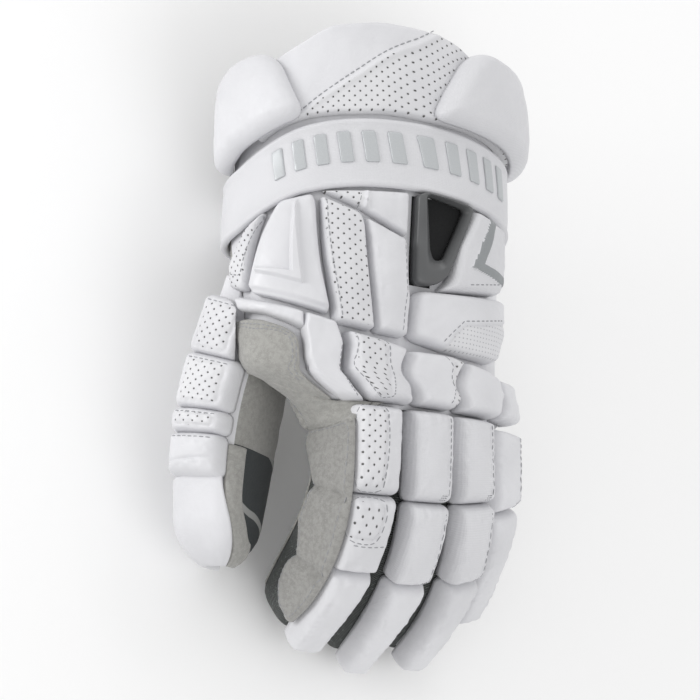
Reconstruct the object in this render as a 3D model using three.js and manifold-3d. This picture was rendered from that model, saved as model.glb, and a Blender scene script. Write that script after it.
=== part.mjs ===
// A left-hand lacrosse glove lying palm down: +Z up, +Y from the fingertips to the cuff, the thumb towards -X.
// Millimetres. The origin is set at the end, under the middle of the glove.
import * as THREE from 'three';
import Module from 'manifold-3d';

const wasm = await Module();
wasm.setup();

// hand and cuff: one tube of rounded sections, measured from the knuckle line towards the cuff
const HAND_LENGTH = 110;
const CUFF_LENGTH = 78;
const HAND_HALF_WIDTH = 70;
const HAND_HALF_HEIGHT = 41;
const WRIST_HEIGHT = 46.5;
const SHELL_WALL = 2.5;
const CLEARANCE = 0.4;
const BEND_CLEARANCE = 0.9;

// pads, panels and leather
const PAD_THICKNESS = 12;
const HAND_PAD_THICKNESS = 11.5;
const SEAT = 0.6;
const PAD_CROWN = 1.6;
const PAD_GAP = 0.7;
const PANEL_THICKNESS = 8;
const SUEDE_THICKNESS = 2.4;
const WING_THICKNESS = 9;
const WING_LIFT = 5.6;
const CUFF_PANEL_THICKNESS = 5;
const PLATE_THICKNESS = 10;
const SIDE_PANEL_THICKNESS = 3.6;
const CAP_THICKNESS = 3.4;
const FRAME_THICKNESS = 6;

// fingers
const SLEEVE_WALL = 2;
const SLEEVE_WIDTH = 22;
const FINGER_PAD_WIDTH = 25.4;
const SLEEVE_DEPTH = 29;
const INDEX_LENGTH = 117;
const MIDDLE_LENGTH = 127;
const RING_LENGTH = 121;
const LITTLE_LENGTH = 92;

// thumb
const THUMB_ROOT_ACROSS = -67;
const THUMB_ROOT_ALONG = 0.545;
const THUMB_ROOT_UP = -6.4;
const THUMB_LENGTH = 133;
const THUMB_DEPTH = 56;
const THUMB_WIDTH = 31;
const THUMB_PAD_THICKNESS = 10.5;

// strap
const STRAP_WIDTH = 33;
const STRAP_THICKNESS = 3.6;
const STRAP_LIFT = 1.2;

const DEGREE = Math.PI / 180;

const COLOURS = {
  leather: { color: 0xe6e6e8, roughness: 0.55, metalness: 0 },
  perforated: { color: 0xdededf, roughness: 0.6, metalness: 0 },
  textured: { color: 0xe2e2e4, roughness: 0.5, metalness: 0 },
  moulded: { color: 0xe9e9eb, roughness: 0.42, metalness: 0 },
  suede: { color: 0xb5b3ad, roughness: 0.95, metalness: 0 },
  mesh: { color: 0x4a4e4c, roughness: 0.9, metalness: 0 },
  palm: { color: 0x9d9c98, roughness: 0.9, metalness: 0 },
  plastic: { color: 0x6e6f6f, roughness: 0.4, metalness: 0 },
  lining: { color: 0x2b2c2e, roughness: 0.95, metalness: 0 },
};

// shares of the sizes above
const HAND_ROWS = [0, 0.05, 0.1, 0.15, 0.22, 0.35, 0.5, 0.7, 0.9, 1.1, 1.3];
const CUFF_END = 1.71;
const LINER_END = 1.3;
const PALM_END = 0.9;
const BACK_ANGLES = [-18, 198];
const PALM_ANGLES = [199, 341];
const CAP_START = 0.735;
const BAND_START = 0.6;
// how far round the hand in degrees, and the middle of the strap as a share of HAND_LENGTH
const STRAP_CENTRE = [
  [0, 0.96], [45, 1.035], [90, 1.085], [135, 1.035], [180, 0.885], [225, 0.85], [270, 0.86], [315, 0.9], [360, 0.96],
];
// first and last place along the thumb, then across it, as shares of its length and half width
const THUMB_PADS = [
  [0.08, 0.29, -0.95, 0.7],
  [0.29, 0.49, -0.98, 0.85],
  [0.49, 0.58, -0.98, 0.85],
  [0.58, 0.725, -0.95, 0.8],
];
// down the side as a share of SLEEVE_DEPTH from the back edge, and along the finger as a share of its length
const INDEX_SIDE = [
  [-0.3, 0.05], [0.96, 0.06], [0.96, 0.13], [0.78, 0.21],
  [0.62, 0.29], [0.72, 0.36], [0.76, 0.46], [0.62, 0.54],
  [0.5, 0.585], [0.6, 0.67], [0.53, 0.78], [0.26, 0.86],
  [-0.15, 0.87], [-0.28, 0.7], [-0.34, 0.45],
];
const VENT_OUTER = [[90, 0.93], [90, 0.535], [82.8, 0.542], [77.6, 0.583], [65, 0.905]];
const VENT_INNER = [[86, 0.925], [84, 0.7], [82.4, 0.656], [78.2, 0.664], [68, 0.895]];
// name, look, base, height, edge, corner radius, corners as [degrees round the hand, share of HAND_LENGTH]
const HAND_PIECES = [
  ['side_panel', 'perforated', BEND_CLEARANCE, PANEL_THICKNESS - 3, 2.5, 4,
    [[157, 0.812], [164.5, 0.69], [176, 0.5], [188, 0.54], [184, 0.635], [170, 0.735]]],
  ['wrist_plate', 'moulded', BEND_CLEARANCE, PLATE_THICKNESS - 2, 3, 4,
    [[149.5, 0.845], [132, 0.88], [130.4, 0.82], [128.8, 0.55], [125.6, 0.36], [145, 0.398], [170.5, 0.442],
      [172.5, 0.48], [160.5, 0.69]]],
  ['back_panel_a', 'perforated', CLEARANCE, PANEL_THICKNESS, 3, 4,
    [[128.9, 0.87], [111.5, 0.81], [109.2, 0.76], [106, 0.312], [123.6, 0.33], [127, 0.6]]],
  ['back_strip_b', 'leather', CLEARANCE, PANEL_THICKNESS, 3, 4,
    [[109.8, 0.795], [92.5, 0.72], [91.3, 0.467], [92.6, 0.302], [105, 0.308], [107.8, 0.7]]],
  ['upper_panel_c', 'leather', CLEARANCE, PANEL_THICKNESS - 3, 1.5, 2,
    [[128.6, 0.895], [91.8, 0.925], [91.8, 0.735], [110.6, 0.83]]],
  ['outer_roll', 'textured', CLEARANCE, PANEL_THICKNESS, 3, 4,
    [[64, 0.9], [42, 0.85], [40, 0.69], [42, 0.568], [81, 0.522], [75.5, 0.585], [72.2, 0.735]]],
  ['outer_block', 'textured', CLEARANCE, PANEL_THICKNESS + 1, 3, 5,
    [[90, 0.512], [42, 0.552], [37, 0.399], [44, 0.262], [65.6, 0.265], [79.8, 0.275], [91.6, 0.299]]],
  ['saddle_plate', 'moulded', BEND_CLEARANCE, PANEL_THICKNESS - 2, 2.5, 3,
    [[184, 0.45], [170, 0.422], [145, 0.378], [124.3, 0.338], [124, 0.316], [142, 0.292], [150, 0.32],
      [166, 0.357], [183, 0.377]]],
  ['saddle_bar', 'moulded', BEND_CLEARANCE, PANEL_THICKNESS, 2, 3,
    [[121.3, 0.298], [120, 0.24], [120.5, 0.155], [129.5, 0.088], [142, 0.01], [161, 0.01], [154.5, 0.07],
      [141.8, 0.14], [140.6, 0.204], [141.5, 0.27]]],
  ['saddle_patch', 'suede', BEND_CLEARANCE * 2.5, SUEDE_THICKNESS + 1.5, 1, 4,
    [[196, 0.35], [183, 0.35], [167, 0.335], [151, 0.298], [144.8, 0.265], [143.2, 0.21], [144.8, 0.15],
      [158, 0.08], [166, 0.012], [188, 0.03], [196, 0.12], [198, 0.25]]],
  ['index_pad_1', 'perforated', CLEARANCE, HAND_PAD_THICKNESS, 3, 4,
    [[119.3, 0.3], [106, 0.282], [93.2, 0.252], [96.6, 0.08], [109.8, 0.012], [138, 0.012], [126.5, 0.085],
      [118, 0.155], [118, 0.24]]],
  ['middle_pad_1', 'leather', CLEARANCE, HAND_PAD_THICKNESS, 3, 4,
    [[92.4, 0.249], [77.6, 0.254], [69.2, 0.235], [77, 0.048], [88, 0.015], [107, 0.012], [95.9, 0.08]]],
  ['ring_pad_1', 'leather', CLEARANCE, HAND_PAD_THICKNESS, 3, 4,
    [[68.3, 0.24], [56.1, 0.225], [46.5, 0.201], [43, 0.111], [56, 0.012], [85, 0.012], [76, 0.05]]],
  ['little_pad_1', 'leather', CLEARANCE, HAND_PAD_THICKNESS - 1, 3, 4,
    [[45, 0.2], [27, 0.2], [22, 0.012], [53, 0.012], [42, 0.1]]],
];
// degrees round the hand, lower and upper edge by share: 0 at the knuckles, 1 at the wrist, 1.71 at the cuff's top
const CUFF_EDGE = [
  [24, 1.175, 1.32], [40, 1.215, 1.42], [64, 1.245, 1.6], [76, 1.25, 1.655], [98, 1.26, 1.673],
  [113, 1.245, 1.65], [123, 1.235, 1.628], [137, 1.215, 1.553], [152.5, 1.175, 1.475],
  [166, 1.12, 1.39],
];
const WING_SINK = 6;
const WINGS = [
  ['left_wing', 'leather', [[202, 1.04], [200, 1.36], [186, 1.445], [175, 1.478], [163, 1.5], [154, 1.5],
    [147.5, 1.45], [143.5, 1.36], [136.5, 1.215], [150, 1.17], [168, 1.105], [186, 1.055]]],
  ['right_wing', 'textured', [[86.5, 1.255], [81.5, 1.377], [70.5, 1.555], [59, 1.62], [34, 1.6], [18, 1.54],
    [-2, 1.37], [-2, 1.13], [20, 1.165], [41.5, 1.205], [66, 1.235]]],
];

const glove = new THREE.Group();

function add(name, geometry, look) {
  const mesh = new THREE.Mesh(geometry, new THREE.MeshStandardMaterial(COLOURS[look]));
  mesh.name = name;
  glove.add(mesh);
}

function smooth(rows, at) {
  // rows of [at, value...] joined by a monotone-tangent curve
  const last = rows.length - 1;
  if (at <= rows[0][0]) return rows[0].slice(1);
  if (at >= rows[last][0]) return rows[last].slice(1);
  let i = 0;
  while (rows[i + 1][0] < at) i += 1;
  const [a, b] = [rows[i], rows[i + 1]];
  const step = b[0] - a[0];
  const t = (at - a[0]) / step;
  const slope = (j, k) => {
    const lo = rows[Math.max(j - 1, 0)];
    const hi = rows[Math.min(j + 1, last)];
    return (hi[k] - lo[k]) / (hi[0] - lo[0]);
  };
  return a.slice(1).map((value, k) => {
    const m0 = slope(i, k + 1) * step;
    const m1 = slope(i + 1, k + 1) * step;
    const t2 = t * t;
    const t3 = t2 * t;
    return (2 * t3 - 3 * t2 + 1) * value + (t3 - 2 * t2 + t) * m0 + (3 * t2 - 2 * t3) * b[k + 1] + (t3 - t2) * m1;
  });
}

function geometryOf(points, faces) {
  // one closed body with its faces outward
  let volume = 0;
  for (const [a, b, c] of faces) volume += points[a].dot(points[b].clone().cross(points[c]));
  const index = faces.flatMap(([a, b, c]) => (volume > 0 ? [a, b, c] : [a, c, b]));
  const geometry = new THREE.BufferGeometry();
  geometry.setAttribute('position', new THREE.Float32BufferAttribute(points.flatMap((p) => p.toArray()), 3));
  geometry.setIndex(index);
  geometry.computeVertexNormals();
  return geometry;
}

function chain(rings, first, last) {
  // closed rings joined one to the next, with a point at each end, or joined end to end where there is no point
  const points = rings.flat();
  const n = rings[0].length;
  const faces = [];
  const bands = first ? rings.length - 1 : rings.length;
  for (let r = 0; r < bands; r += 1) {
    const low = r * n;
    const high = ((r + 1) % rings.length) * n;
    for (let i = 0; i < n; i += 1) {
      const j = (i + 1) % n;
      faces.push([low + i, low + j, high + j], [low + i, high + j, high + i]);
    }
  }
  if (first) {
    const [a, b] = [points.length, points.length + 1];
    const end = (rings.length - 1) * n;
    for (let i = 0; i < n; i += 1) {
      const j = (i + 1) % n;
      faces.push([a, j, i], [b, end + i, end + j]);
    }
    points.push(first, last);
  }
  return geometryOf(points, faces);
}

function sheet(place, [u0, u1], rows, [h0, h1], nu) {
  // a curved slab: a box in (across, along, height) carried over by place, with its rows at the given places along
  const nv = rows.length - 1;
  const points = [];
  const at = (i, j, k) => (k * (nv + 1) + j) * (nu + 1) + i;
  for (const h of [h0, h1]) {
    for (let j = 0; j <= nv; j += 1) {
      for (let i = 0; i <= nu; i += 1) {
        points.push(place(u0 + ((u1 - u0) * i) / nu, rows[j], h));
      }
    }
  }
  const faces = [];
  const quad = (a, b, c, d) => faces.push([a, b, c], [a, c, d]);
  for (let j = 0; j < nv; j += 1) {
    for (let i = 0; i < nu; i += 1) {
      quad(at(i, j, 1), at(i + 1, j, 1), at(i + 1, j + 1, 1), at(i, j + 1, 1));
      quad(at(i, j, 0), at(i, j + 1, 0), at(i + 1, j + 1, 0), at(i + 1, j, 0));
    }
  }
  for (let i = 0; i < nu; i += 1) {
    quad(at(i, 0, 0), at(i + 1, 0, 0), at(i + 1, 0, 1), at(i, 0, 1));
    quad(at(i, nv, 1), at(i + 1, nv, 1), at(i + 1, nv, 0), at(i, nv, 0));
  }
  for (let j = 0; j < nv; j += 1) {
    quad(at(0, j, 1), at(0, j + 1, 1), at(0, j + 1, 0), at(0, j, 0));
    quad(at(nu, j, 0), at(nu, j + 1, 0), at(nu, j + 1, 1), at(nu, j, 1));
  }
  return geometryOf(points, faces);
}

function evenRows(from, to, count) {
  return Array.from({ length: count + 1 }, (_, i) => from + ((to - from) * i) / count);
}

function outlineOf(corners, count, radius) {
  // a closed outline with rounded corners, as count points evenly spaced
  const path = new THREE.Path();
  const n = corners.length;
  for (let i = 0; i < n; i += 1) {
    const here = new THREE.Vector2(...corners[i]);
    const before = new THREE.Vector2(...corners[(i + n - 1) % n]);
    const after = new THREE.Vector2(...corners[(i + 1) % n]);
    const r = Math.min(radius, here.distanceTo(before) * 0.45, here.distanceTo(after) * 0.45);
    const start = here.clone().lerp(before, r / here.distanceTo(before));
    const end = here.clone().lerp(after, r / here.distanceTo(after));
    if (i === 0) path.moveTo(start.x, start.y);
    else path.lineTo(start.x, start.y);
    path.quadraticCurveTo(here.x, here.y, end.x, end.y);
  }
  path.closePath();
  return path.getSpacedPoints(count).slice(0, count);
}

function pillow(place, corners, {
  base = CLEARANCE, height, crown = PAD_CROWN, radius = 4, edge = 3, count = 14, gap = 0, fill = [0.5],
}) {
  // a soft pad: flat below, rounded at its edge, a little domed above
  const outline = outlineOf(corners, count, radius);
  const middle = new THREE.Vector2();
  for (const p of outline) middle.addScaledVector(p, 1 / outline.length);
  const ring = (inset, h, share = 1) => outline.map((p) => {
    const arm = p.clone().sub(middle);
    const reach = arm.length();
    arm.multiplyScalar(((reach - Math.min(inset + gap, reach * 0.5)) / reach) * share);
    return place(middle.x + arm.x, middle.y + arm.y, h);
  });
  const top = base + height;
  const rings = [
    ...fill.map((share) => ring(edge * 0.3, base, share)).reverse(),
    ring(edge * 0.3, base),
    ring(0, base + height * 0.3),
    ring(edge * 0.25, base + height * 0.72),
    ring(edge, top),
    ...fill.map((share) => ring(edge, top + crown * (1 - share * share), share)),
  ];
  return chain(rings, place(middle.x, middle.y, base), place(middle.x, middle.y, top + crown));
}

// the hand surface
// along: 0 at the knuckles, 1 at the wrist, CUFF_END at the top of the cuff; middle, halfWidth: shares of HAND_HALF_WIDTH;
// level, up and down: shares of HAND_HALF_HEIGHT about WRIST_HEIGHT; roll in degrees, little finger side lower
const HAND_SECTIONS = [
  // along, middle, level, halfWidth, up, down, roll
  [0, 0.01, 0.32, 0.745, 0.46, 0.52, 13],
  [0.06, -0.1, 0.3, 0.86, 0.48, 0.54, 11],
  [0.14, -0.23, 0.26, 0.975, 0.52, 0.58, 8.5],
  [0.25, -0.25, 0.22, 1, 0.57, 0.64, 8],
  [0.42, -0.26, 0.17, 1.01, 0.65, 0.78, 7],
  [0.7, -0.262, 0.08, 1.012, 0.82, 1.06, 4],
  [1, -0.238, 0, 0.968, 1, 1.115, 0],
  [1.3, -0.238, 0, 0.958, 1, 1.115, 0],
  [1.71, -0.27, -0.02, 0.95, 0.97, 1, 0],
];
const ROUNDNESS = 2.3;

// millimetres from the knuckles for a share, and the share for millimetres
const alongOf = (share) => (
  share <= 1 ? share * HAND_LENGTH : HAND_LENGTH + ((share - 1) / (CUFF_END - 1)) * CUFF_LENGTH
);
const shareOf = (along) => (
  along <= HAND_LENGTH ? along / HAND_LENGTH : 1 + ((along - HAND_LENGTH) / CUFF_LENGTH) * (CUFF_END - 1)
);

function handPoint(angle, along, height) {
  // angle in degrees round the hand: 0 at the little finger side, 90 on the back, 180 at the thumb side
  const [middle, level, halfWidth, up, down, roll] = smooth(HAND_SECTIONS, shareOf(along));
  const c = Math.cos(angle * DEGREE);
  const s = Math.sin(angle * DEGREE);
  const w = halfWidth * HAND_HALF_WIDTH;
  const t = (s > 0 ? up : down) * HAND_HALF_HEIGHT;
  const x = Math.sign(c) * Math.abs(c) ** (2 / ROUNDNESS) * w;
  const z = Math.sign(s) * Math.abs(s) ** (2 / ROUNDNESS) * t;
  const nx = (Math.sign(c) * Math.abs(c) ** (2 - 2 / ROUNDNESS)) / w;
  const nz = (Math.sign(s) * Math.abs(s) ** (2 - 2 / ROUNDNESS)) / t;
  const n = Math.hypot(nx, nz);
  const px = x + (nx / n) * height;
  const pz = z + (nz / n) * height;
  const r = -roll * DEGREE;
  return new THREE.Vector3(
    middle * HAND_HALF_WIDTH + px * Math.cos(r) - pz * Math.sin(r),
    along,
    WRIST_HEIGHT + level * HAND_HALF_HEIGHT + px * Math.sin(r) + pz * Math.cos(r),
  );
}

// fingers and thumb: a centre line that curls, with a section about it
const STRAIGHT = [[0, 0], [1, 0]];
function limb({ root, length, pitch, lean, width, depth, taper, wedge, sideways = STRAIGHT, slant = STRAIGHT }) {
  // pitch: degrees below level along the length; lean: degrees the back turns to +X; taper: shares of width and depth;
  // slant: how far the palm side swings towards the thumb, for each millimetre of depth
  const steps = 240;
  const centres = [new THREE.Vector3(...root)];
  for (let i = 0; i < steps; i += 1) {
    const [fall] = smooth(pitch, (i + 0.5) / steps);
    const [swing] = smooth(sideways, (i + 0.5) / steps);
    const step = length / steps;
    centres.push(centres[i].clone().add(new THREE.Vector3(
      Math.sin(swing * DEGREE) * step,
      -Math.cos(fall * DEGREE) * Math.cos(swing * DEGREE) * step,
      -Math.sin(fall * DEGREE) * step,
    )));
  }
  const frame = (along) => {
    const share = Math.min(Math.max(along / length, 0), 1);
    const k = Math.min(Math.floor(share * steps), steps - 1);
    const centre = centres[k].clone().lerp(centres[k + 1], share * steps - k);
    const tangent = centres[k + 1].clone().sub(centres[k]).normalize();
    centre.addScaledVector(tangent, along - share * length);
    const side = new THREE.Vector3(0, 0, 1).cross(tangent).negate().normalize();
    const back = side.clone().cross(tangent).negate();
    if (back.z < 0) back.negate();
    const turn = smooth(lean, share)[0] * DEGREE;
    const d = back.clone().multiplyScalar(Math.cos(turn)).addScaledVector(side, -Math.sin(turn));
    const s = side.clone().negate().multiplyScalar(Math.cos(turn)).addScaledVector(back, -Math.sin(turn));
    const [w, t] = smooth(taper, share);
    return { centre, s, d, w: (width / 2) * w, t: (depth / 2) * t, swing: smooth(slant, share)[0] };
  };
  const section = (along, angle, inset, shrink = 1) => {
    // rounded section; the palm side is narrower by the wedge
    const f = frame(along);
    const c = Math.cos(angle);
    const q = Math.sin(angle);
    const t = (f.t - inset) * shrink;
    const z = Math.sign(q) * Math.abs(q) ** 0.62 * t;
    const w = (f.w - inset) * shrink * (1 + (wedge * z) / f.t);
    const x = Math.sign(c) * Math.abs(c) ** 0.62 * w - f.swing * (f.t - z);
    return f.centre.clone().addScaledVector(f.s, x).addScaledVector(f.d, z);
  };
  // on the back of the limb: across, along and above it
  const back = (across, along, height) => {
    const f = frame(along);
    return f.centre.clone().addScaledVector(f.s, across).addScaledVector(f.d, f.t + height);
  };
  // round the thumb side of the limb: down from the back edge, along, outward
  const side = (down, along, height) => {
    const f = frame(along);
    const out = FINGER_PAD_WIDTH / 2 + height + f.swing * Math.max(down, 0);
    return f.centre.clone().addScaledVector(f.s, -out).addScaledVector(f.d, f.t - down);
  };
  return { frame, section, back, side, length };
}

function sleeve(form, wall, round, { count = 12, rows = 7 } = {}) {
  // a hollow finger: open at the hand, closed and round at the tip
  const ringAt = (along, inset, shrink) => Array.from(
    { length: count },
    (_, i) => form.section(along, (i / count) * 2 * Math.PI, inset, shrink),
  );
  const outer = [];
  const inner = [];
  const straight = form.length - round;
  for (let r = 0; r <= rows; r += 1) {
    outer.push(ringAt((straight * r) / rows, 0, 1));
    inner.push(ringAt((straight * r) / rows, wall, 1));
  }
  for (const turn of [35, 62]) {
    const a = turn * DEGREE;
    outer.push(ringAt(straight + Math.sin(a) * round, 0, Math.cos(a)));
    inner.push(ringAt(straight + Math.sin(a) * (round - wall), wall, Math.cos(a)));
  }
  const rings = [...outer.reverse(), ...inner];
  return chain(rings, form.section(form.length, 0, 0, 0), form.section(form.length - wall, 0, 0, 0));
}

const tipTaper = [[0, 1, 1.08], [0.45, 1, 1], [0.8, 0.96, 0.94], [1, 0.9, 0.86]];
// root: across as a share of HAND_HALF_WIDTH, up as a share of HAND_HALF_HEIGHT above WRIST_HEIGHT
const FINGERS = [
  // curl: last pitch; spread: share of a sideways bend of 6 degrees; end: that bend at the tip; slant: largest slant of the section
  { name: 'index', length: INDEX_LENGTH, across: -0.485, up: 0.43, lean: -2, curl: 55, spread: 0, end: 0, slant: 0.42 },
  { name: 'middle', length: MIDDLE_LENGTH, across: -0.112, up: 0.39, lean: 6, curl: 55, spread: 0.1, end: 0, slant: 0.14 },
  { name: 'ring', length: RING_LENGTH, across: 0.225, up: 0.27, lean: 14, curl: 50, spread: 1, end: -3, slant: 0.14 },
  { name: 'little', length: LITTLE_LENGTH, across: 0.505, up: 0.02, lean: 30, curl: 42, spread: 1.1, end: 2.5, slant: 0.05 },
];
const FINGER_PADS = {
  // rows of first and last place along the finger, as shares of its length
  index: [[0, 0.31], [0.31, 0.54], [0.54, 0.98]],
  middle: [[0, 0.3], [0.3, 0.53], [0.53, 0.99]],
  ring: [[0, 0.3], [0.3, 0.54], [0.54, 0.99]],
  little: [[0.02, 0.37], [0.37, 0.97]],
};
// place along the finger and share of FINGER_PAD_WIDTH there
const PAD_TAPER = [[0, 1], [0.5, 1], [0.75, 0.9], [1, 0.78]];

const forms = {};
for (const finger of FINGERS) {
  const form = limb({
    root: [finger.across * HAND_HALF_WIDTH, -CLEARANCE, WRIST_HEIGHT + finger.up * HAND_HALF_HEIGHT],
    length: finger.length,
    pitch: [[0, 0], [0.24, 6], [0.45, 34], [0.66, finger.curl], [1, finger.curl + 3]],
    lean: [[0, finger.lean], [0.5, finger.lean * 0.8], [1, finger.lean * 0.5]],
    width: SLEEVE_WIDTH,
    depth: SLEEVE_DEPTH,
    taper: tipTaper,
    wedge: 0.16,
    sideways: [[0, 0], [0.3, 6 * finger.spread], [0.55, 6 * finger.spread], [1, finger.end]],
    slant: [[0, 0.1 * finger.slant], [0.25, 0.7 * finger.slant], [0.6, finger.slant], [1, 0.9 * finger.slant]],
  });
  forms[finger.name] = form;
  add(`${finger.name}_sleeve`, sleeve(form, SLEEVE_WALL, SLEEVE_WIDTH * 0.42), 'mesh');
  FINGER_PADS[finger.name].forEach(([from, to], i) => {
    const a = from * finger.length + PAD_GAP / 2;
    const b = to * finger.length - PAD_GAP / 2;
    const w = (FINGER_PAD_WIDTH - PAD_GAP) / 2;
    const [near] = smooth(PAD_TAPER, from);
    const [far] = smooth(PAD_TAPER, to);
    const corners = [[-w * near, a], [w * near, a], [w * far, b], [-w * far, b]];
    const place = (u, v, h) => form.back(u, v, h - (u * u) / 90);
    add(`${finger.name}_pad_${i + 2}`, pillow(place, corners, { base: SEAT, height: PAD_THICKNESS }), 'leather');
  });
}


// hand shell, with the thumb opening cut through it
function solidOf(geometry) {
  const vertProperties = Float32Array.from(geometry.attributes.position.array);
  const triVerts = Uint32Array.from(geometry.index.array);
  return new wasm.Manifold(new wasm.Mesh({ numProp: 3, vertProperties, triVerts }));
}

function geometryFrom(solid) {
  const { vertProperties, triVerts } = solid.getMesh();
  const geometry = new THREE.BufferGeometry();
  geometry.setAttribute('position', new THREE.BufferAttribute(Float32Array.from(vertProperties), 3));
  geometry.setIndex(Array.from(triVerts));
  geometry.computeVertexNormals();
  return geometry;
}

const thumb = limb({
  root: [THUMB_ROOT_ACROSS, THUMB_ROOT_ALONG * HAND_LENGTH, WRIST_HEIGHT + THUMB_ROOT_UP],
  length: THUMB_LENGTH,
  pitch: [[0, 18], [0.35, 13], [0.6, 4], [1, 1]],
  lean: [[0, -50], [0.5, -55], [1, -55]],
  width: THUMB_WIDTH,
  depth: THUMB_DEPTH,
  taper: [[0, 1, 0.96], [0.4, 1, 1], [0.66, 0.98, 0.94], [0.85, 0.92, 0.8], [1, 0.84, 0.68]],
  wedge: 0.05,
  sideways: [[0, -9], [0.5, -7], [1, -2]],
});

// the space inside the thumb, carried back into the hand: its sections as shares of THUMB_LENGTH
const THUMB_HOLLOW = [0.04, 0.2, 0.35, 0.5, 0.65, 0.8];

function thumbHollow() {
  const rings = [];
  for (const along of THUMB_HOLLOW) {
    rings.push(Array.from({ length: 18 }, (_, i) => (
      thumb.section(along * THUMB_LENGTH, (i / 18) * 2 * Math.PI, SLEEVE_WALL)
    )));
  }
  const first = thumb.frame(THUMB_HOLLOW[0] * THUMB_LENGTH).centre;
  const last = thumb.frame(THUMB_HOLLOW[THUMB_HOLLOW.length - 1] * THUMB_LENGTH).centre;
  return solidOf(chain(rings, first, last));
}

const handRows = (end) => HAND_ROWS.filter((share) => share <= end).map(alongOf);

// the hand as one full solid, a clearance larger than the shell
function handSolid(grow) {
  const rings = [];
  for (const along of HAND_ROWS) {
    const reach = alongOf(along) - (along === 0 ? grow : 0);
    rings.push(Array.from({ length: 36 }, (_, i) => handPoint((i / 36) * 360, reach, grow)));
  }
  const centre = (ring) => ring.reduce((sum, p) => sum.add(p), new THREE.Vector3()).divideScalar(ring.length);
  return solidOf(chain(rings, centre(rings[0]), centre(rings[rings.length - 1])));
}

const hollow = thumbHollow();
const backShell = sheet(handPoint, BACK_ANGLES, handRows(LINER_END), [-SHELL_WALL, 0], 18);
const palmShell = sheet(handPoint, PALM_ANGLES, handRows(PALM_END), [-SHELL_WALL, 0], 12);
add('hand_back_liner', geometryFrom(solidOf(backShell).subtract(hollow)), 'lining');
add('palm_panel', geometryFrom(solidOf(palmShell).subtract(hollow)), 'palm');

// thumb sleeve, seated on the hand
const thumbRound = THUMB_WIDTH * 0.62;
const thumbWhole = sleeve(thumb, SLEEVE_WALL, thumbRound, { count: 16, rows: 9 });
add('thumb_sleeve', geometryFrom(solidOf(thumbWhole).subtract(handSolid(CLEARANCE))), 'palm');

const THUMB_END = THUMB_LENGTH + thumbRound * 0.28;

// the outside of the thumb, carried round its tip: turn in degrees round it, along it, and above it
function thumbSkin(turn, along, height) {
  const straight = thumb.length - thumbRound;
  if (along <= straight) return thumb.section(along, turn * DEGREE, -height);
  const bend = Math.min((along - straight) / thumbRound, 1.4);
  const reach = straight + Math.sin(bend) * (thumbRound + height);
  return thumb.section(reach, turn * DEGREE, -height, Math.cos(bend));
}

THUMB_PADS.forEach(([from, to, low, high], i) => {
  const a = from * THUMB_LENGTH + PAD_GAP / 2;
  const b = to * THUMB_LENGTH - PAD_GAP / 2;
  const place = (u, v, h) => thumb.back(u, v, h - (u * u) / 60);
  const w = THUMB_WIDTH / 2;
  const corners = [[low * w, a], [high * w, a], [high * w, b], [low * w, b]];
  const pad = pillow(place, corners, { base: SEAT + 0.3, height: THUMB_PAD_THICKNESS, radius: 5 });
  const trimmed = i === 0 ? geometryFrom(solidOf(pad).subtract(handSolid(PANEL_THICKNESS + CLEARANCE))) : pad;
  add(`thumb_pad_${i + 1}`, trimmed, 'leather');
});
add('thumb_cap', sheet(thumbSkin, [50, 236], evenRows(CAP_START * THUMB_LENGTH, THUMB_END, 9), [CLEARANCE, CAP_THICKNESS], 10), 'leather');
add('thumb_band', sheet(thumbSkin, [12, 48], evenRows(BAND_START * THUMB_LENGTH, THUMB_END, 9), [CLEARANCE, SUEDE_THICKNESS + CLEARANCE], 4), 'suede');

// pads and panels on the back of the hand
const ROUND_RADIUS = 60;
const onHand = (u, v, h) => handPoint(u / (ROUND_RADIUS * DEGREE), v, h);
for (const [name, look, base, height, edge, radius, corners] of HAND_PIECES) {
  const outline = corners.map(([angle, along]) => [angle * DEGREE * ROUND_RADIUS, alongOf(along)]);
  const count = corners.length > 8 ? 24 : 16;
  add(name, pillow(onHand, outline, { base, height, edge, radius, count, gap: PAD_GAP / 2, crown: height > 4 ? PAD_CROWN : 0.2 }), look);
}

// cuff: a wide curved panel on the back, a padded wing standing at each side of it
const cuffPlace = (angle, share, h) => {
  const [low, high] = smooth(CUFF_EDGE, angle);
  return handPoint(angle, alongOf(low + (high - low) * share), h);
};
add('cuff_panel', sheet(cuffPlace, [24, 164], evenRows(0, 1, 4), [CLEARANCE, CLEARANCE + CUFF_PANEL_THICKNESS], 16), 'leather');
const wingPlace = (u, v, h) => {
  const angle = u / (ROUND_RADIUS * DEGREE);
  const turned = Math.min(Math.max((Math.abs(angle - 90) - 78) / 34, 0), 1);
  return handPoint(angle, v, h - WING_SINK * turned * turned * (3 - 2 * turned));
};
for (const [name, look, corners] of WINGS) {
  const outline = corners.map(([angle, along]) => [angle * DEGREE * ROUND_RADIUS, alongOf(along)]);
  add(name, pillow(wingPlace, outline, {
    base: CLEARANCE + WING_LIFT, height: WING_THICKNESS, edge: 4, radius: 10, count: 26, fill: [0.66, 0.33],
  }), look);
}

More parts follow.
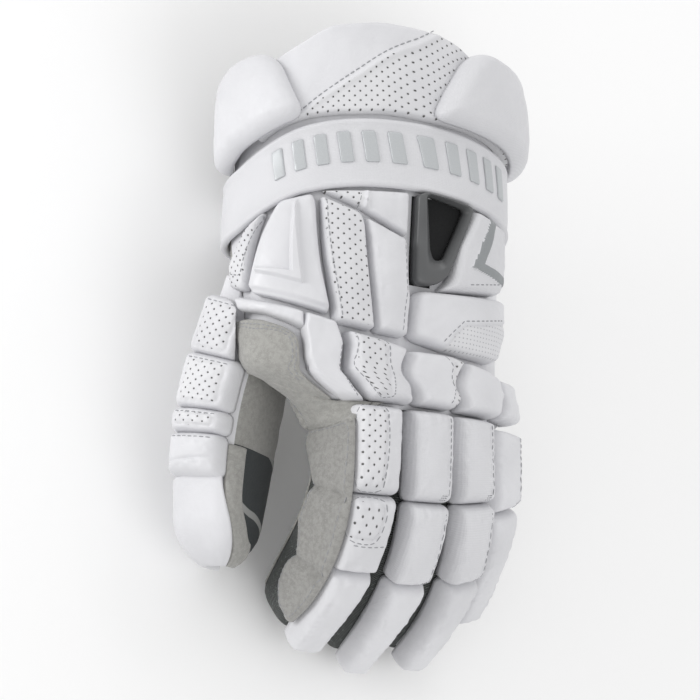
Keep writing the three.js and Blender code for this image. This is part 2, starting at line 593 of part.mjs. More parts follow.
// vent frame: a ring of bevelled plastic round an open V
function ventFrame() {
  const trace = (corners, radius) => outlineOf(
    corners.map(([angle, along]) => [angle * DEGREE * ROUND_RADIUS, alongOf(along)]),
    24,
    radius,
  );
  const outer = trace(VENT_OUTER, 3);
  const inner = trace(VENT_INNER, 2);
  const between = (share) => outer.map((p, i) => p.clone().lerp(inner[i], share));
  const lay = (outline, h) => outline.map((p) => onHand(p.x, p.y, h));
  const top = CLEARANCE + FRAME_THICKNESS;
  return chain([
    lay(between(0.04), CLEARANCE),
    lay(between(0.04), top - 1),
    lay(between(0.12), top),
    lay(between(0.5), top),
    lay(inner, top - 3),
    lay(inner, CLEARANCE),
  ]);
}
add('vent_frame', ventFrame(), 'plastic');

// suede panel on the thumb side of the index finger
const indexForm = forms.index;
const sidePlace = (u, v, h) => indexForm.side(u, v, h);
const sideOutline = INDEX_SIDE.map(([down, along]) => [down * SLEEVE_DEPTH, along * INDEX_LENGTH]);
add('index_side_panel', pillow(sidePlace, sideOutline, {
  base: CLEARANCE, height: SIDE_PANEL_THICKNESS, crown: 0.3, edge: 1.6, radius: 4, count: 26,
}), 'suede');

// strap: a whole loop round the wrist
function strap() {
  const rings = [];
  const count = 36;
  const w = STRAP_WIDTH / 2;
  const section = [
    [-w, 0.3], [-w, 0.75], [-w * 0.9, 1], [w * 0.9, 1], [w, 0.75], [w, 0.3], [w * 0.94, 0], [-w * 0.94, 0],
  ];
  for (let i = 0; i < count; i += 1) {
    const angle = (i / count) * 360;
    const [centre] = smooth(STRAP_CENTRE, angle);
    rings.push(section.map(([v, h]) => (
      handPoint(angle, alongOf(centre) + v, STRAP_LIFT + h * STRAP_THICKNESS)
    )));
  }
  return chain(rings);
}
add('strap', strap(), 'textured');

// the frame: under the middle of the glove
const box = new THREE.Box3().setFromObject(glove);
glove.position.set(-(box.min.x + box.max.x) / 2, -(box.min.y + box.max.y) / 2, -box.min.z);

export default glove;
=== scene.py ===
"""Dresses the lacrosse glove: foam pads in leather, suede, ribbed fabric, moulded plate, vent, strap and stitching."""
import math

import bmesh
import bpy
import numpy as np
from mathutils import Matrix, Vector


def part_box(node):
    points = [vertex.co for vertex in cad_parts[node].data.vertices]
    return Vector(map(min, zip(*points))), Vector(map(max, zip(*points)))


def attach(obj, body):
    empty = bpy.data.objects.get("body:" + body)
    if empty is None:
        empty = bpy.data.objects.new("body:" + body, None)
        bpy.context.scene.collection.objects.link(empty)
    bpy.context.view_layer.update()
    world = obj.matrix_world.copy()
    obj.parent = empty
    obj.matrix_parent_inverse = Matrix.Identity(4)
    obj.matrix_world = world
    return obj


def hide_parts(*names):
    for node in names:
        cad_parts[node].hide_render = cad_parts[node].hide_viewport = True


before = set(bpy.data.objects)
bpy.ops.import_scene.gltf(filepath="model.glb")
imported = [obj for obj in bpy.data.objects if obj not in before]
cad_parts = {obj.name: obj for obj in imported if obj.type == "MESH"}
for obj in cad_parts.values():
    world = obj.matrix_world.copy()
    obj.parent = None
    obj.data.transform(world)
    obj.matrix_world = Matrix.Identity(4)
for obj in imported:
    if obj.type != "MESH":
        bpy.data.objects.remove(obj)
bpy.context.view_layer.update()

bl_info = {
    "name": "Lacrosse Glove",
    "version": (1, 0, 0),
    "blender": (4, 5, 0),
    "location": "3D View > Sidebar > Glove",
    "description": "Builds the pads, panels, sleeves, strap and stitching of a lacrosse glove over its solid model",
    "category": "Add Mesh",
}

MM = 0.001

# sizes of the solid model, in millimetres
HAND_LENGTH = 110.0
HAND_HALF_WIDTH = 70.0
HAND_HALF_HEIGHT = 41.0
WRIST_HEIGHT = 46.5
ROUNDNESS = 2.3
ROUND_RADIUS = 60.0
CLEARANCE = 0.4
BEND_CLEARANCE = 0.9
SEAT = 0.6
PAD_THICKNESS = 12.0
HAND_PAD_THICKNESS = 11.5
PANEL_THICKNESS = 8.0
PLATE_THICKNESS = 10.0
SUEDE_THICKNESS = 2.4
WING_THICKNESS = 9.0
WING_LIFT = 5.6
WING_SINK = 6.0
CUFF_PANEL_THICKNESS = 5.0
FRAME_THICKNESS = 6.0
SIDE_PANEL_THICKNESS = 3.6
SLEEVE_WIDTH = 22.0
SLEEVE_DEPTH = 29.0
FINGER_PAD_WIDTH = 25.4
THUMB_WIDTH = 31.0
THUMB_DEPTH = 56.0
THUMB_LENGTH = 133.0
THUMB_PAD_THICKNESS = 10.5
STRAP_WIDTH = 33.0
STRAP_THICKNESS = 3.6
STRAP_LIFT = 1.2
BACK_LENGTH = HAND_LENGTH * 1.3
PALM_LENGTH = HAND_LENGTH * 0.9
# degrees round the hand that its back and its palm take up
BACK_TURNS = (-18, 198)
PALM_TURNS = (199, 341)
# the strips of leather on a finger sleeve, from near the hand to a share of its length
STRIP_START, STRIP_END, STRIP_LIFT = 0.3, 0.93, 0.12
SLEEVE_STRIPS = [
    # part, look, slot, middle and half width in degrees round the finger, columns, thickness, edge, unevenness
    ("top", "white", "white_leather", 90, 22, 19, 0.36, 0.5, 0.0),
    ("palm", "palm", "palm_leather", 270, 38, 25, 0.7, 0.8, 0.05),
]
# scales of the flat pattern
UV_UNIT = 100.0
STRAP_RADIUS = 74.0
SLEEVE_GIRTH = 82.0
# degrees round the thumb: its seam, and the edges of the tip cap
THUMB_SEAM = 110
CAP_FIRST_TURN, CAP_SWING, CAP_LAST_TURN = 60, 34, 236
GRIP_START = 0.6 * THUMB_LENGTH
# the view of the photograph, and the floor in metres
PHOTO_PIXELS, PIXEL = 700, 0.476
VIEW_TURN, VIEW_RISE = 30, 12
LENS, SENSOR = 135, 36
FLOOR_HALF = 3

HAND_SECTIONS = [
    # along, middle, level, half width, up, down, roll
    [0, 0.01, 0.32, 0.745, 0.46, 0.52, 13],
    [0.06, -0.1, 0.3, 0.86, 0.48, 0.54, 11],
    [0.14, -0.23, 0.26, 0.975, 0.52, 0.58, 8.5],
    [0.25, -0.25, 0.22, 1, 0.57, 0.64, 8],
    [0.42, -0.26, 0.17, 1.01, 0.65, 0.78, 7],
    [0.7, -0.262, 0.08, 1.012, 0.82, 1.06, 4],
    [1, -0.238, 0, 0.968, 1, 1.115, 0],
    [1.3, -0.238, 0, 0.958, 1, 1.115, 0],
    [1.71, -0.27, -0.02, 0.95, 0.97, 1, 0],
]
STRAP_CENTRE = [
    [0, 0.96], [45, 1.035], [90, 1.085], [135, 1.035], [180, 0.885], [225, 0.85], [270, 0.86], [315, 0.9], [360, 0.96],
]
FINGERS = {
    # length, across, up, lean, curl, spread, end, slant, pad rows
    "index": (117, -0.485, 0.43, -2, 55, 0, 0, 0.42, [(0, 0.31), (0.31, 0.54), (0.54, 0.98)]),
    "middle": (127, -0.112, 0.39, 6, 55, 0.1, 0, 0.14, [(0, 0.3), (0.3, 0.53), (0.53, 0.99)]),
    "ring": (121, 0.225, 0.27, 14, 50, 1, -3, 0.14, [(0, 0.3), (0.3, 0.54), (0.54, 0.99)]),
    "little": (92, 0.505, 0.02, 30, 42, 1.1, 2.5, 0.05, [(0.02, 0.37), (0.37, 0.97)]),
}


def blend_rows(rows, at):
    """Values of a table at any place, joined by a smooth curve."""
    table = np.asarray(rows, float)
    x, y = table[:, 0], table[:, 1:]
    last = len(x) - 1
    slope = np.array([(y[min(j + 1, last)] - y[max(j - 1, 0)]) / (x[min(j + 1, last)] - x[max(j - 1, 0)])
                      for j in range(last + 1)])
    at = np.clip(np.asarray(at, float), x[0], x[-1])
    i = np.clip(np.searchsorted(x, at, side="right") - 1, 0, last - 1)
    step = (x[i + 1] - x[i])[..., None]
    t = (at - x[i])[..., None] / step
    return ((2 * t**3 - 3 * t**2 + 1) * y[i] + (t**3 - 2 * t**2 + t) * step * slope[i]
            + (3 * t**2 - 2 * t**3) * y[i + 1] + (t**3 - t**2) * step * slope[i + 1])


def hand_point(angle, along, height):
    """A point on the hand: degrees round it, millimetres from the knuckles, millimetres above it."""
    angle, along, height = np.broadcast_arrays(*(np.asarray(v, float) for v in (angle, along, height)))
    middle, level, half, up, down, roll = np.moveaxis(blend_rows(HAND_SECTIONS, along / HAND_LENGTH), -1, 0)
    c, s = np.cos(np.radians(angle)), np.sin(np.radians(angle))
    w = half * HAND_HALF_WIDTH
    t = np.where(s > 0, up, down) * HAND_HALF_HEIGHT
    x = np.sign(c) * np.abs(c) ** (2 / ROUNDNESS) * w
    z = np.sign(s) * np.abs(s) ** (2 / ROUNDNESS) * t
    nx = np.sign(c) * np.abs(c) ** (2 - 2 / ROUNDNESS) / w
    nz = np.sign(s) * np.abs(s) ** (2 - 2 / ROUNDNESS) / t
    n = np.hypot(nx, nz)
    px, pz = x + nx / n * height, z + nz / n * height
    r = -np.radians(roll)
    return np.stack([
        middle * HAND_HALF_WIDTH + px * np.cos(r) - pz * np.sin(r),
        along,
        WRIST_HEIGHT + level * HAND_HALF_HEIGHT + px * np.sin(r) + pz * np.cos(r),
    ], -1)


def on_hand(u, v, h):
    """The same, with the place round the hand in millimetres."""
    return hand_point(np.degrees(np.asarray(u) / ROUND_RADIUS), v, h)


def on_wing(u, v, h):
    """The hand surface for the wings, which lie closer to it at the sides."""
    angle = np.degrees(np.asarray(u) / ROUND_RADIUS)
    turned = np.clip((np.abs(angle - 90) - 78) / 34, 0, 1)
    return hand_point(angle, v, h - WING_SINK * turned**2 * (3 - 2 * turned))


# the model stands with the middle of its floor outline at the origin
_liner, _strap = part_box("hand_back_liner"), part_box("strap")
SHIFT = np.array([
    (_strap[0][0] + _strap[1][0]) / 2 / MM - hand_point([0, 180], [105, 105], 0)[:, 0].mean(),
    _liner[0][1] / MM,
    _liner[1][2] / MM - hand_point(90, 110, 0)[2],
])


class Limb:
    """A finger or the thumb: a centre line that curls, with a section about it."""

    def __init__(self, root, length, pitch, lean, width, depth, taper, wedge, sideways=((0, 0), (1, 0)),
                 slant=((0, 0), (1, 0))):
        steps = 240
        self.length, self.steps, self.wedge = length, steps, wedge
        self.width, self.depth, self.lean, self.taper, self.slant = width, depth, lean, taper, slant
        mid = (np.arange(steps) + 0.5) / steps
        fall = np.radians(blend_rows(pitch, mid)[:, 0])
        swing = np.radians(blend_rows(sideways, mid)[:, 0])
        move = np.stack([np.sin(swing), -np.cos(fall) * np.cos(swing), -np.sin(fall)], -1) * length / steps
        self.centres = np.vstack([root, np.asarray(root) + np.cumsum(move, 0)])
        tangent = move / np.linalg.norm(move, axis=1, keepdims=True)
        self.tangents = np.vstack([tangent[:1], (tangent[1:] + tangent[:-1]) / 2, tangent[-1:]])

    def frame(self, along):
        """Centre, side and up directions and half sizes of the section at a place along."""
        along = np.asarray(along, float)
        share = np.clip(along / self.length, 0, 1)
        k = share * self.steps
        pick = lambda rows: np.stack([np.interp(k, np.arange(self.steps + 1), rows[:, i]) for i in range(3)], -1)
        tangent = pick(self.tangents)
        tangent /= np.linalg.norm(tangent, axis=-1, keepdims=True)
        centre = pick(self.centres) + tangent * (along - share * self.length)[..., None]
        side = -np.cross([0, 0, 1.0], tangent)
        side /= np.linalg.norm(side, axis=-1, keepdims=True)
        back = -np.cross(side, tangent)
        back *= np.where(back[..., 2:] < 0, -1, 1)
        turn = np.radians(blend_rows(self.lean, share)[..., :1])
        d = back * np.cos(turn) - side * np.sin(turn)
        s = -side * np.cos(turn) - back * np.sin(turn)
        w, t = np.moveaxis(blend_rows(self.taper, share), -1, 0)
        return centre, s, d, w * self.width / 2, t * self.depth / 2

    def swing(self, along):
        """How far the palm side swings towards the thumb, for each millimetre of depth."""
        return blend_rows(self.slant, np.clip(along / self.length, 0, 1))[..., 0]

    def section(self, along, turn, inset=0, shrink=1.0):
        along, turn, inset, shrink = np.broadcast_arrays(*(np.asarray(v, float) for v in (along, turn, inset, shrink)))
        centre, s, d, w, t = self.frame(along)
        c, q = np.cos(np.radians(turn)), np.sin(np.radians(turn))
        z = np.sign(q) * np.abs(q) ** 0.62 * (t - inset) * shrink
        x = np.sign(c) * np.abs(c) ** 0.62 * (w - inset) * shrink * (1 + self.wedge * z / t)
        x = x - self.swing(along) * (t - z)
        return centre + s * x[..., None] + d * z[..., None]

    def back(self, across, along, height, droop=90):
        """A point above the back, which falls away to both sides."""
        across, along, height = np.broadcast_arrays(*(np.asarray(v, float) for v in (across, along, height)))
        centre, s, d, _, t = self.frame(along)
        return centre + s * across[..., None] + d * (t + height - across**2 / droop)[..., None]

    def side(self, down, along, height):
        """A point beside the limb, on the side of the thumb."""
        down, along, height = np.broadcast_arrays(*(np.asarray(v, float) for v in (down, along, height)))
        centre, s, d, _, t = self.frame(along)
        out = FINGER_PAD_WIDTH / 2 + height + self.swing(along) * np.maximum(down, 0)
        return centre - s * out[..., None] + d * (t - down)[..., None]

    def skin(self, turn, along, height, rounding):
        """The outside carried round the tip."""
        along, turn, height = np.broadcast_arrays(*(np.asarray(v, float) for v in (along, turn, height)))
        straight = self.length - rounding
        bend = np.clip((along - straight) / rounding, 0, 1.4)
        reach = np.where(along <= straight, along, straight + np.sin(bend) * (rounding + height))
        return self.section(reach, turn, -height, np.where(along <= straight, 1.0, np.cos(bend)))


def finger_limb(name):
    """The curled centre line and sections of a finger."""
    length, across, up, lean, curl, spread, end, slant, _ = FINGERS[name]
    return Limb(
        root=[across * HAND_HALF_WIDTH, -CLEARANCE, WRIST_HEIGHT + up * HAND_HALF_HEIGHT],
        length=length,
        pitch=[[0, 0], [0.24, 6], [0.45, 34], [0.66, curl], [1, curl + 3]],
        lean=[[0, lean], [0.5, lean * 0.8], [1, lean * 0.5]],
        width=SLEEVE_WIDTH, depth=SLEEVE_DEPTH,
        taper=[[0, 1, 1.08], [0.45, 1, 1], [0.8, 0.96, 0.94], [1, 0.9, 0.86]],
        wedge=0.16,
        sideways=[[0, 0], [0.3, 6 * spread], [0.55, 6 * spread], [1, end]],
        slant=[[0, 0.1 * slant], [0.25, 0.7 * slant], [0.6, slant], [1, 0.9 * slant]],
    )


LIMBS = {name: finger_limb(name) for name in FINGERS}
THUMB = Limb(
    root=[-67, 60, WRIST_HEIGHT - 6.4],
    length=THUMB_LENGTH,
    pitch=[[0, 18], [0.35, 13], [0.6, 4], [1, 1]],
    lean=[[0, -50], [0.5, -55], [1, -55]],
    width=THUMB_WIDTH, depth=THUMB_DEPTH,
    taper=[[0, 1, 0.96], [0.4, 1, 1], [0.66, 0.98, 0.94], [0.85, 0.92, 0.8], [1, 0.84, 0.68]],
    wedge=0.05,
    sideways=[[0, -9], [0.5, -7], [1, -2]],
)
THUMB_ROUND = THUMB_WIDTH * 0.62
THUMB_END = THUMB_LENGTH + THUMB_ROUND * 0.28


def rounded(corners, count, radius):
    """A closed outline with rounded corners, as evenly spaced points."""
    corners = np.asarray(corners, float)
    n = len(corners)
    points = []
    for i in range(n):
        here, before, after = corners[i], corners[i - 1], corners[(i + 1) % n]
        lb, la = np.linalg.norm(here - before), np.linalg.norm(here - after)
        r = min(radius, lb * 0.45, la * 0.45)
        a, b = here + (before - here) * r / lb, here + (after - here) * r / la
        for t in np.linspace(0, 1, 9):
            points.append((1 - t) ** 2 * a + 2 * t * (1 - t) * here + t * t * b)
    points = np.array(points + points[:1])
    walk = np.concatenate([[0], np.cumsum(np.linalg.norm(np.diff(points, axis=0), axis=1))])
    at = np.linspace(0, walk[-1], count, endpoint=False)
    return np.stack([np.interp(at, walk, points[:, k]) for k in (0, 1)], -1)


def distance_to(points, path, closed=False):
    """Distance of each point to a path."""
    path = np.asarray(path, float)
    if closed:
        path = np.vstack([path, path[:1]])
    a, b = path[:-1], path[1:]
    d = b - a
    flat = np.asarray(points, float).reshape(-1, 2)
    best = np.full(len(flat), 1e9)
    for i in range(len(a)):
        t = np.clip(((flat - a[i]) @ d[i]) / max(d[i] @ d[i], 1e-9), 0, 1)
        best = np.minimum(best, np.linalg.norm(flat - a[i] - t[:, None] * d[i], axis=1))
    return best.reshape(np.asarray(points).shape[:-1])


def inside(points, polygon):
    """Which points lie within an outline."""
    flat = np.asarray(points, float).reshape(-1, 2)
    polygon = np.asarray(polygon, float)
    hit = np.zeros(len(flat), bool)
    for (x0, y0), (x1, y1) in zip(polygon, np.roll(polygon, -1, 0)):
        cross = (y0 > flat[:, 1]) != (y1 > flat[:, 1])
        with np.errstate(divide="ignore", invalid="ignore"):
            at = (x1 - x0) * (flat[:, 1] - y0) / (y1 - y0) + x0
        hit ^= cross & (flat[:, 0] < at)
    return hit.reshape(np.asarray(points).shape[:-1])


def within(polygon):
    """A test of which points lie within one outline."""
    return lambda uv: inside(uv, polygon)


def ease(x):
    """A soft step from 0 to 1."""
    x = np.clip(x, 0, 1)
    return x * x * (3 - 2 * x)


def ripple(points, seed, waves=((14, 0.5), (8, 0.3), (5, 0.2))):
    """Soft unevenness of stuffed leather, about one high."""
    rng = np.random.default_rng(seed)
    out = np.zeros(points.shape[:-1])
    for length, size in waves:
        for _ in range(3):
            a = rng.uniform(0, 2 * math.pi)
            k = 2 * math.pi / (length * rng.uniform(0.8, 1.25))
            out += size * np.sin((points[..., 0] * math.cos(a) + points[..., 1] * math.sin(a)) * k
                                 + rng.uniform(0, 2 * math.pi)) / 2
    return out


def to_mesh(name, points, faces, uv=None, materials=(), face_material=None):
    """A mesh object from points in millimetres."""
    mesh = bpy.data.meshes.new(name)
    points = (np.asarray(points, float).reshape(-1, 3) + SHIFT) * MM
    mesh.from_pydata(points.tolist(), [], [list(map(int, f)) for f in faces])
    if uv is not None:
        layer = mesh.uv_layers.new(name="cut")
        loops = np.empty(len(mesh.loops), np.int32)
        mesh.loops.foreach_get("vertex_index", loops)
        layer.data.foreach_set("uv", (np.asarray(uv, float).reshape(-1, 2)[loops] / UV_UNIT).astype(np.float32).ravel())
    for material in materials:
        mesh.materials.append(material)
    if face_material is not None:
        mesh.polygons.foreach_set("material_index", np.asarray(face_material, np.int32))
    mesh.polygons.foreach_set("use_smooth", np.ones(len(mesh.polygons), bool))
    mesh.update()
    obj = bpy.data.objects.new(name, mesh)
    bpy.context.scene.collection.objects.link(obj)
    return obj


def outward(points, faces):
    """Turns the faces outward."""
    points = np.asarray(points, float).reshape(-1, 3)
    volume = 0.0
    centre = points.mean(0)
    for f in faces:
        p = points[list(f)] - centre
        for k in range(1, len(f) - 1):
            volume += p[0] @ np.cross(p[k], p[k + 1])
    return faces if volume > 0 else [f[::-1] for f in faces]


def rings_faces(rings, count, capped=True, looped=False):
    """Faces between closed rings of points, with a point at each end if capped."""
    faces = []
    bands = rings if looped else rings - 1
    for r in range(bands):
        a, b = r * count, ((r + 1) % rings) * count
        for i in range(count):
            j = (i + 1) % count
            faces.append((a + i, a + j, b + j, b + i))
    if capped:
        first, last, end = rings * count, rings * count + 1, (rings - 1) * count
        for i in range(count):
            j = (i + 1) % count
            faces.append((first, j, i))
            faces.append((last, end + i, end + j))
    return faces


class Pad:
    """A padded piece cut to a flat outline and laid on a surface by place."""

    def __init__(self, place, corners, base=CLEARANCE, height=8.0, crown=1.6, radius=4.0, edge=4.5, gap=0.35,
                 count=128, rows=20, power=2.3, seed=1, wobble=0.3, features=(), pucker=0.25):
        self.place, self.base, self.height, self.crown = place, base, height, crown
        self.edge, self.power, self.seed, self.wobble, self.pucker = edge, power, seed, wobble, pucker
        self.features = list(features)
        outline = rounded(corners, count, radius)
        self.middle = outline.mean(0)
        arm = outline - self.middle
        reach = np.linalg.norm(arm, axis=1, keepdims=True)
        self.outline = self.middle + arm * (reach - gap) / reach
        self.count, self.rows = count, rows
        self.depth = distance_to(self.middle[None], self.outline, True)[0]

    def lift(self, uv):
        """Height above the surface at a place of the pattern."""
        return self._lift(uv, distance_to(uv, self.outline, True))

    def _lift(self, uv, d):
        x = np.clip(d / self.edge, 0, 1)
        rise = (1 - (1 - x) ** self.power) ** (1 / self.power)
        h = self.height * rise + self.crown * ease(d / max(self.depth, 1))
        soft = ease(d / (self.edge * 0.8))
        h += self.wobble * ripple(uv, self.seed) * soft * 0.5
        if self.pucker:
            fold = ripple(uv, self.seed + 50, ((6, 0.5), (3.6, 0.5)))
            h += self.pucker * fold * rise * np.exp(-((d - self.edge * 0.8) / (self.edge * 0.7)) ** 2)
        for feature in self.features:
            h += feature(uv) * rise
        return self.base + h

    def surface(self, uv, above=0.0):
        uv = np.asarray(uv, float)
        return self.place(uv[..., 0], uv[..., 1], self.lift(uv) + above)

    def build(self, name, materials, zone=None):
        arm = self.outline - self.middle
        reach = np.linalg.norm(arm, axis=1)
        edge = self.edge
        layers = []
        for t in np.linspace(0, 1, 9)[:-1]:
            inset = edge * (1 - math.cos(t * math.pi / 2) ** (2 / self.power))
            rise = math.sin(t * math.pi / 2) ** (2 / self.power)
            layers.append((inset, rise))
        shares = np.linspace(0, 1, self.rows + 1)[:-1]
        uvs, hs = [], []
        for inset, rise in layers:
            at = self.middle + arm * ((reach - np.minimum(inset, reach * 0.6)) / reach)[:, None]
            uvs.append(at)
            hs.append(np.full(self.count, rise))
        start = self.middle + arm * ((reach - np.minimum(edge, reach * 0.6)) / reach)[:, None]
        for share in shares:
            at = self.middle + (start - self.middle) * (1 - share)
            uvs.append(at)
            hs.append(np.ones(self.count))
        uvs, hs = np.array(uvs), np.array(hs)
        d = distance_to(uvs, self.outline, True)
        tops = self._lift(uvs, d)
        tops[0] = self.base
        top = self.place(uvs[..., 0], uvs[..., 1], tops)
        low_uv = np.array([self.middle + arm * s for s in (0.45, 0.9)])
        low = self.place(low_uv[..., 0], low_uv[..., 1], np.full(low_uv.shape[:-1], self.base))
        points = np.concatenate([low.reshape(-1, 3), top.reshape(-1, 3)])
        uv = np.concatenate([low_uv.reshape(-1, 2), uvs.reshape(-1, 2)])
        ends = np.array([self.middle, self.middle])
        end_points = np.array([
            self.place(self.middle[0], self.middle[1], self.base),
            self.place(self.middle[0], self.middle[1], float(self.lift(self.middle[None])[0])),
        ])
        points = np.vstack([points, end_points])
        uv = np.vstack([uv, ends])
        rings = 2 + len(uvs)
        faces = outward(points, rings_faces(rings, self.count))
        index = None
        if zone is not None:
            centres = np.array([uv[list(f)].mean(0) for f in faces])
            index = zone(centres).astype(int)
        return to_mesh(name, points, faces, uv, materials, index)


def groove(path, width=1.2, depth=0.9, closed=False):
    """A sewn channel along a path of the pattern."""
    return lambda uv: -depth * np.exp(-(distance_to(uv, path, closed) / (width * 0.6)) ** 2)


def raised(polygon, height, slope=0.8):
    """A part of the pattern that stands higher, with a bevelled edge."""
    def lift(uv):
        d = distance_to(uv, polygon, True) * np.where(inside(uv, polygon), 1, -1)
        return height * ease(d / slope * 0.5 + 0.5)
    return lift


def capsule_rows(starts, ends, ups, radius):
    """Short sewn stitches: small rounded bars, each lying between two points."""
    sides = 6
    profile = [(-0.06, 0.25), (0.1, 0.8), (0.35, 1.0), (0.65, 1.0), (0.9, 0.8), (1.06, 0.25)]
    points, faces = [], []
    for a, b, up in zip(starts, ends, ups):
        along = b - a
        length = np.linalg.norm(along)
        if length < 1e-6:
            continue
        t = along / length
        side = np.cross(t, up)
        side /= np.linalg.norm(side) + 1e-9
        top = np.cross(side, t)
        base = len(points)
        for share, size in profile:
            for k in range(sides):
                q = 2 * math.pi * k / sides
                points.append(a + along * share
                              + (side * math.cos(q) * radius + top * math.sin(q) * radius * 0.8) * size
                              - top * radius * 0.35 * (1 - size))
        for r in range(len(profile) - 1):
            for k in range(sides):
                j = (k + 1) % sides
                faces.append((base + r * sides + k, base + r * sides + j,
                              base + (r + 1) * sides + j, base + (r + 1) * sides + k))
        faces.append(tuple(base + k for k in range(sides))[::-1])
        faces.append(tuple(base + (len(profile) - 1) * sides + k for k in range(sides)))
    return points, faces


def chosen_size(name):
    """A size that the user can change, in millimetres."""
    return round(getattr(bpy.context.scene.glove_sizes, name) / MM, 6)


STITCHES = {"points": [], "faces": []}


def sew(surface, path, spacing=None, length=2.0, radius=0.28, closed=False, above=0.05):
    """Adds a row of stitches along a path of a pattern; surface gives the point of the leather there."""
    path = np.asarray(path, float)
    if closed:
        path = np.vstack([path, path[:1]])
    walk = np.concatenate([[0], np.cumsum(np.linalg.norm(np.diff(path, axis=0), axis=1))])
    n = int(walk[-1] // (spacing or chosen_size("stitch_spacing")))
    if n < 1:
        return
    starts = (np.arange(n) + 0.5) * walk[-1] / n - length / 2
    at = lambda s: np.stack([np.interp(s, walk, path[:, k]) for k in (0, 1)], -1)
    a, b = surface(at(starts), above), surface(at(starts + length), above)
    far = surface(at(starts + length / 2), above + 1.0)
    up = far - surface(at(starts + length / 2), above)
    points, faces = capsule_rows(a, b, up, radius)
    base = len(STITCHES["points"])
    STITCHES["points"] += points
    STITCHES["faces"] += [tuple(base + i for i in f) for f in faces]


def finish_piece(obj, slot, *nodes, fill=0.7):
    """Rides on the glove and stands for its solids, which it hides."""
    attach(obj, "root")
    if nodes:
        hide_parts(*nodes)
    return obj


LEATHER_IOR = 1.46
GRAIN_DEPTH = 0.00009


def linear(text):
    """An sRGB hex colour as the linear colour a shader takes."""
    out = []
    for i in (0, 2, 4):
        c = int(text[i:i + 2], 16) / 255
        out.append(c / 12.92 if c <= 0.04045 else ((c + 0.055) / 1.055) ** 2.4)
    return (*out, 1.0)


def feed(tree, made, **links):
    """Fills inputs of a node, by name or _number, each from a socket or with a value."""
    for key, value in links.items():
        socket = made.inputs[int(key[1:]) if key[0] == "_" else key.replace("_", " ")]
        if isinstance(value, bpy.types.NodeSocket):
            tree.links.new(value, socket)
        else:
            socket.default_value = value


def node(tree, kind, settings=None, **links):
    """Adds a node with its settings and its inputs."""
    made = tree.nodes.new(kind)
    for key, value in (settings or {}).items():
        setattr(made, key, value)
    feed(tree, made, **links)
    return made


def start_material(name):
    """A new material with its tree and its shader."""
    material = bpy.data.materials.new(name)
    material.use_nodes = True
    tree = material.node_tree
    tree.nodes.clear()
    out = tree.nodes.new("ShaderNodeOutputMaterial")
    shader = tree.nodes.new("ShaderNodeBsdfPrincipled")
    tree.links.new(shader.outputs[0], out.inputs[0])
    return material, tree, shader


def mixed(tree, factor, low, high):
    """A colour between two, by a factor."""
    return node(tree, "ShaderNodeMix", {"data_type": "RGBA"}, _0=factor, _6=low, _7=high).outputs[2]


def ramp(tree, value, low, high, to_low=0.0, to_high=1.0):
    """A soft step of a value between two limits."""
    return node(tree, "ShaderNodeMapRange", {"interpolation_type": "SMOOTHSTEP"}, _0=value, From_Min=low, From_Max=high,
                To_Min=to_low, To_Max=to_high).outputs[0]


def noise(tree, scale, detail, **more):
    """A noise through the space of the object."""
    place = node(tree, "ShaderNodeTexCoord").outputs["Object"]
    return node(tree, "ShaderNodeTexNoise", None, Vector=place, Scale=scale, Detail=detail, **more).outputs[0]


def maths(tree, operation, a, b=0.0):
    """The result of a sum on two values."""
    return node(tree, "ShaderNodeMath", {"operation": operation}, _0=a, _1=b).outputs[0]


def pattern_place(tree):
    """The flat pattern in millimetres: across and along."""
    uv = node(tree, "ShaderNodeUVMap", {"uv_map": "cut"})
    split = node(tree, "ShaderNodeSeparateXYZ", _0=uv.outputs[0])
    return [maths(tree, "MULTIPLY", split.outputs[i], UV_UNIT) for i in (0, 1)]


def leather_base(tree, shader, colour, shade, grain=900.0, roughness=(0.42, 0.58)):
    """Soft colour variation, a fine grain and a changing gloss; returns the grain height."""
    place = node(tree, "ShaderNodeTexCoord")
    broad = noise(tree, 26.0, 4.0)
    fine = node(tree, "ShaderNodeTexVoronoi", {"feature": "SMOOTH_F1"}, Vector=place.outputs["Object"], Scale=grain)
    skin = noise(tree, grain * 0.45, 5.0)
    tone = ramp(tree, broad, 0.3, 0.7)
    colour_out = mixed(tree, tone, linear(shade), linear(colour))
    rough = ramp(tree, skin, 0.3, 0.7, *roughness)
    feed(tree, shader, Roughness=rough)
    height = maths(tree, "ADD", maths(tree, "MULTIPLY", fine.outputs["Distance"], 0.6), skin)
    return colour_out, height


def bumped(tree, shader, height, distance, strength=1.0, before=None):
    """Gives the shader a relief, over the one before."""
    made = node(tree, "ShaderNodeBump", None, Strength=strength, Distance=distance, Height=height)
    if before is not None:
        feed(tree, made, Normal=before)
    feed(tree, shader, Normal=made.outputs[0])
    return made.outputs[0]


def white_leather(name="coated_white_leather", colour="DDDDE0", shade="D4D4D7"):
    # polyurethane-coated leather with a fine grain and shallow creases over its stuffing: soft white, satin gloss
    material, tree, shader = start_material(name)
    colour_out, height = leather_base(tree, shader, colour, shade)
    feed(tree, shader, Base_Color=colour_out, IOR=LEATHER_IOR)
    creases = noise(tree, 75.0, 7.0, Roughness=0.62, Distortion=1.6)
    first = bumped(tree, shader, height, GRAIN_DEPTH, 0.55)
    bumped(tree, shader, creases, 0.0011, 0.4, first)
    return material


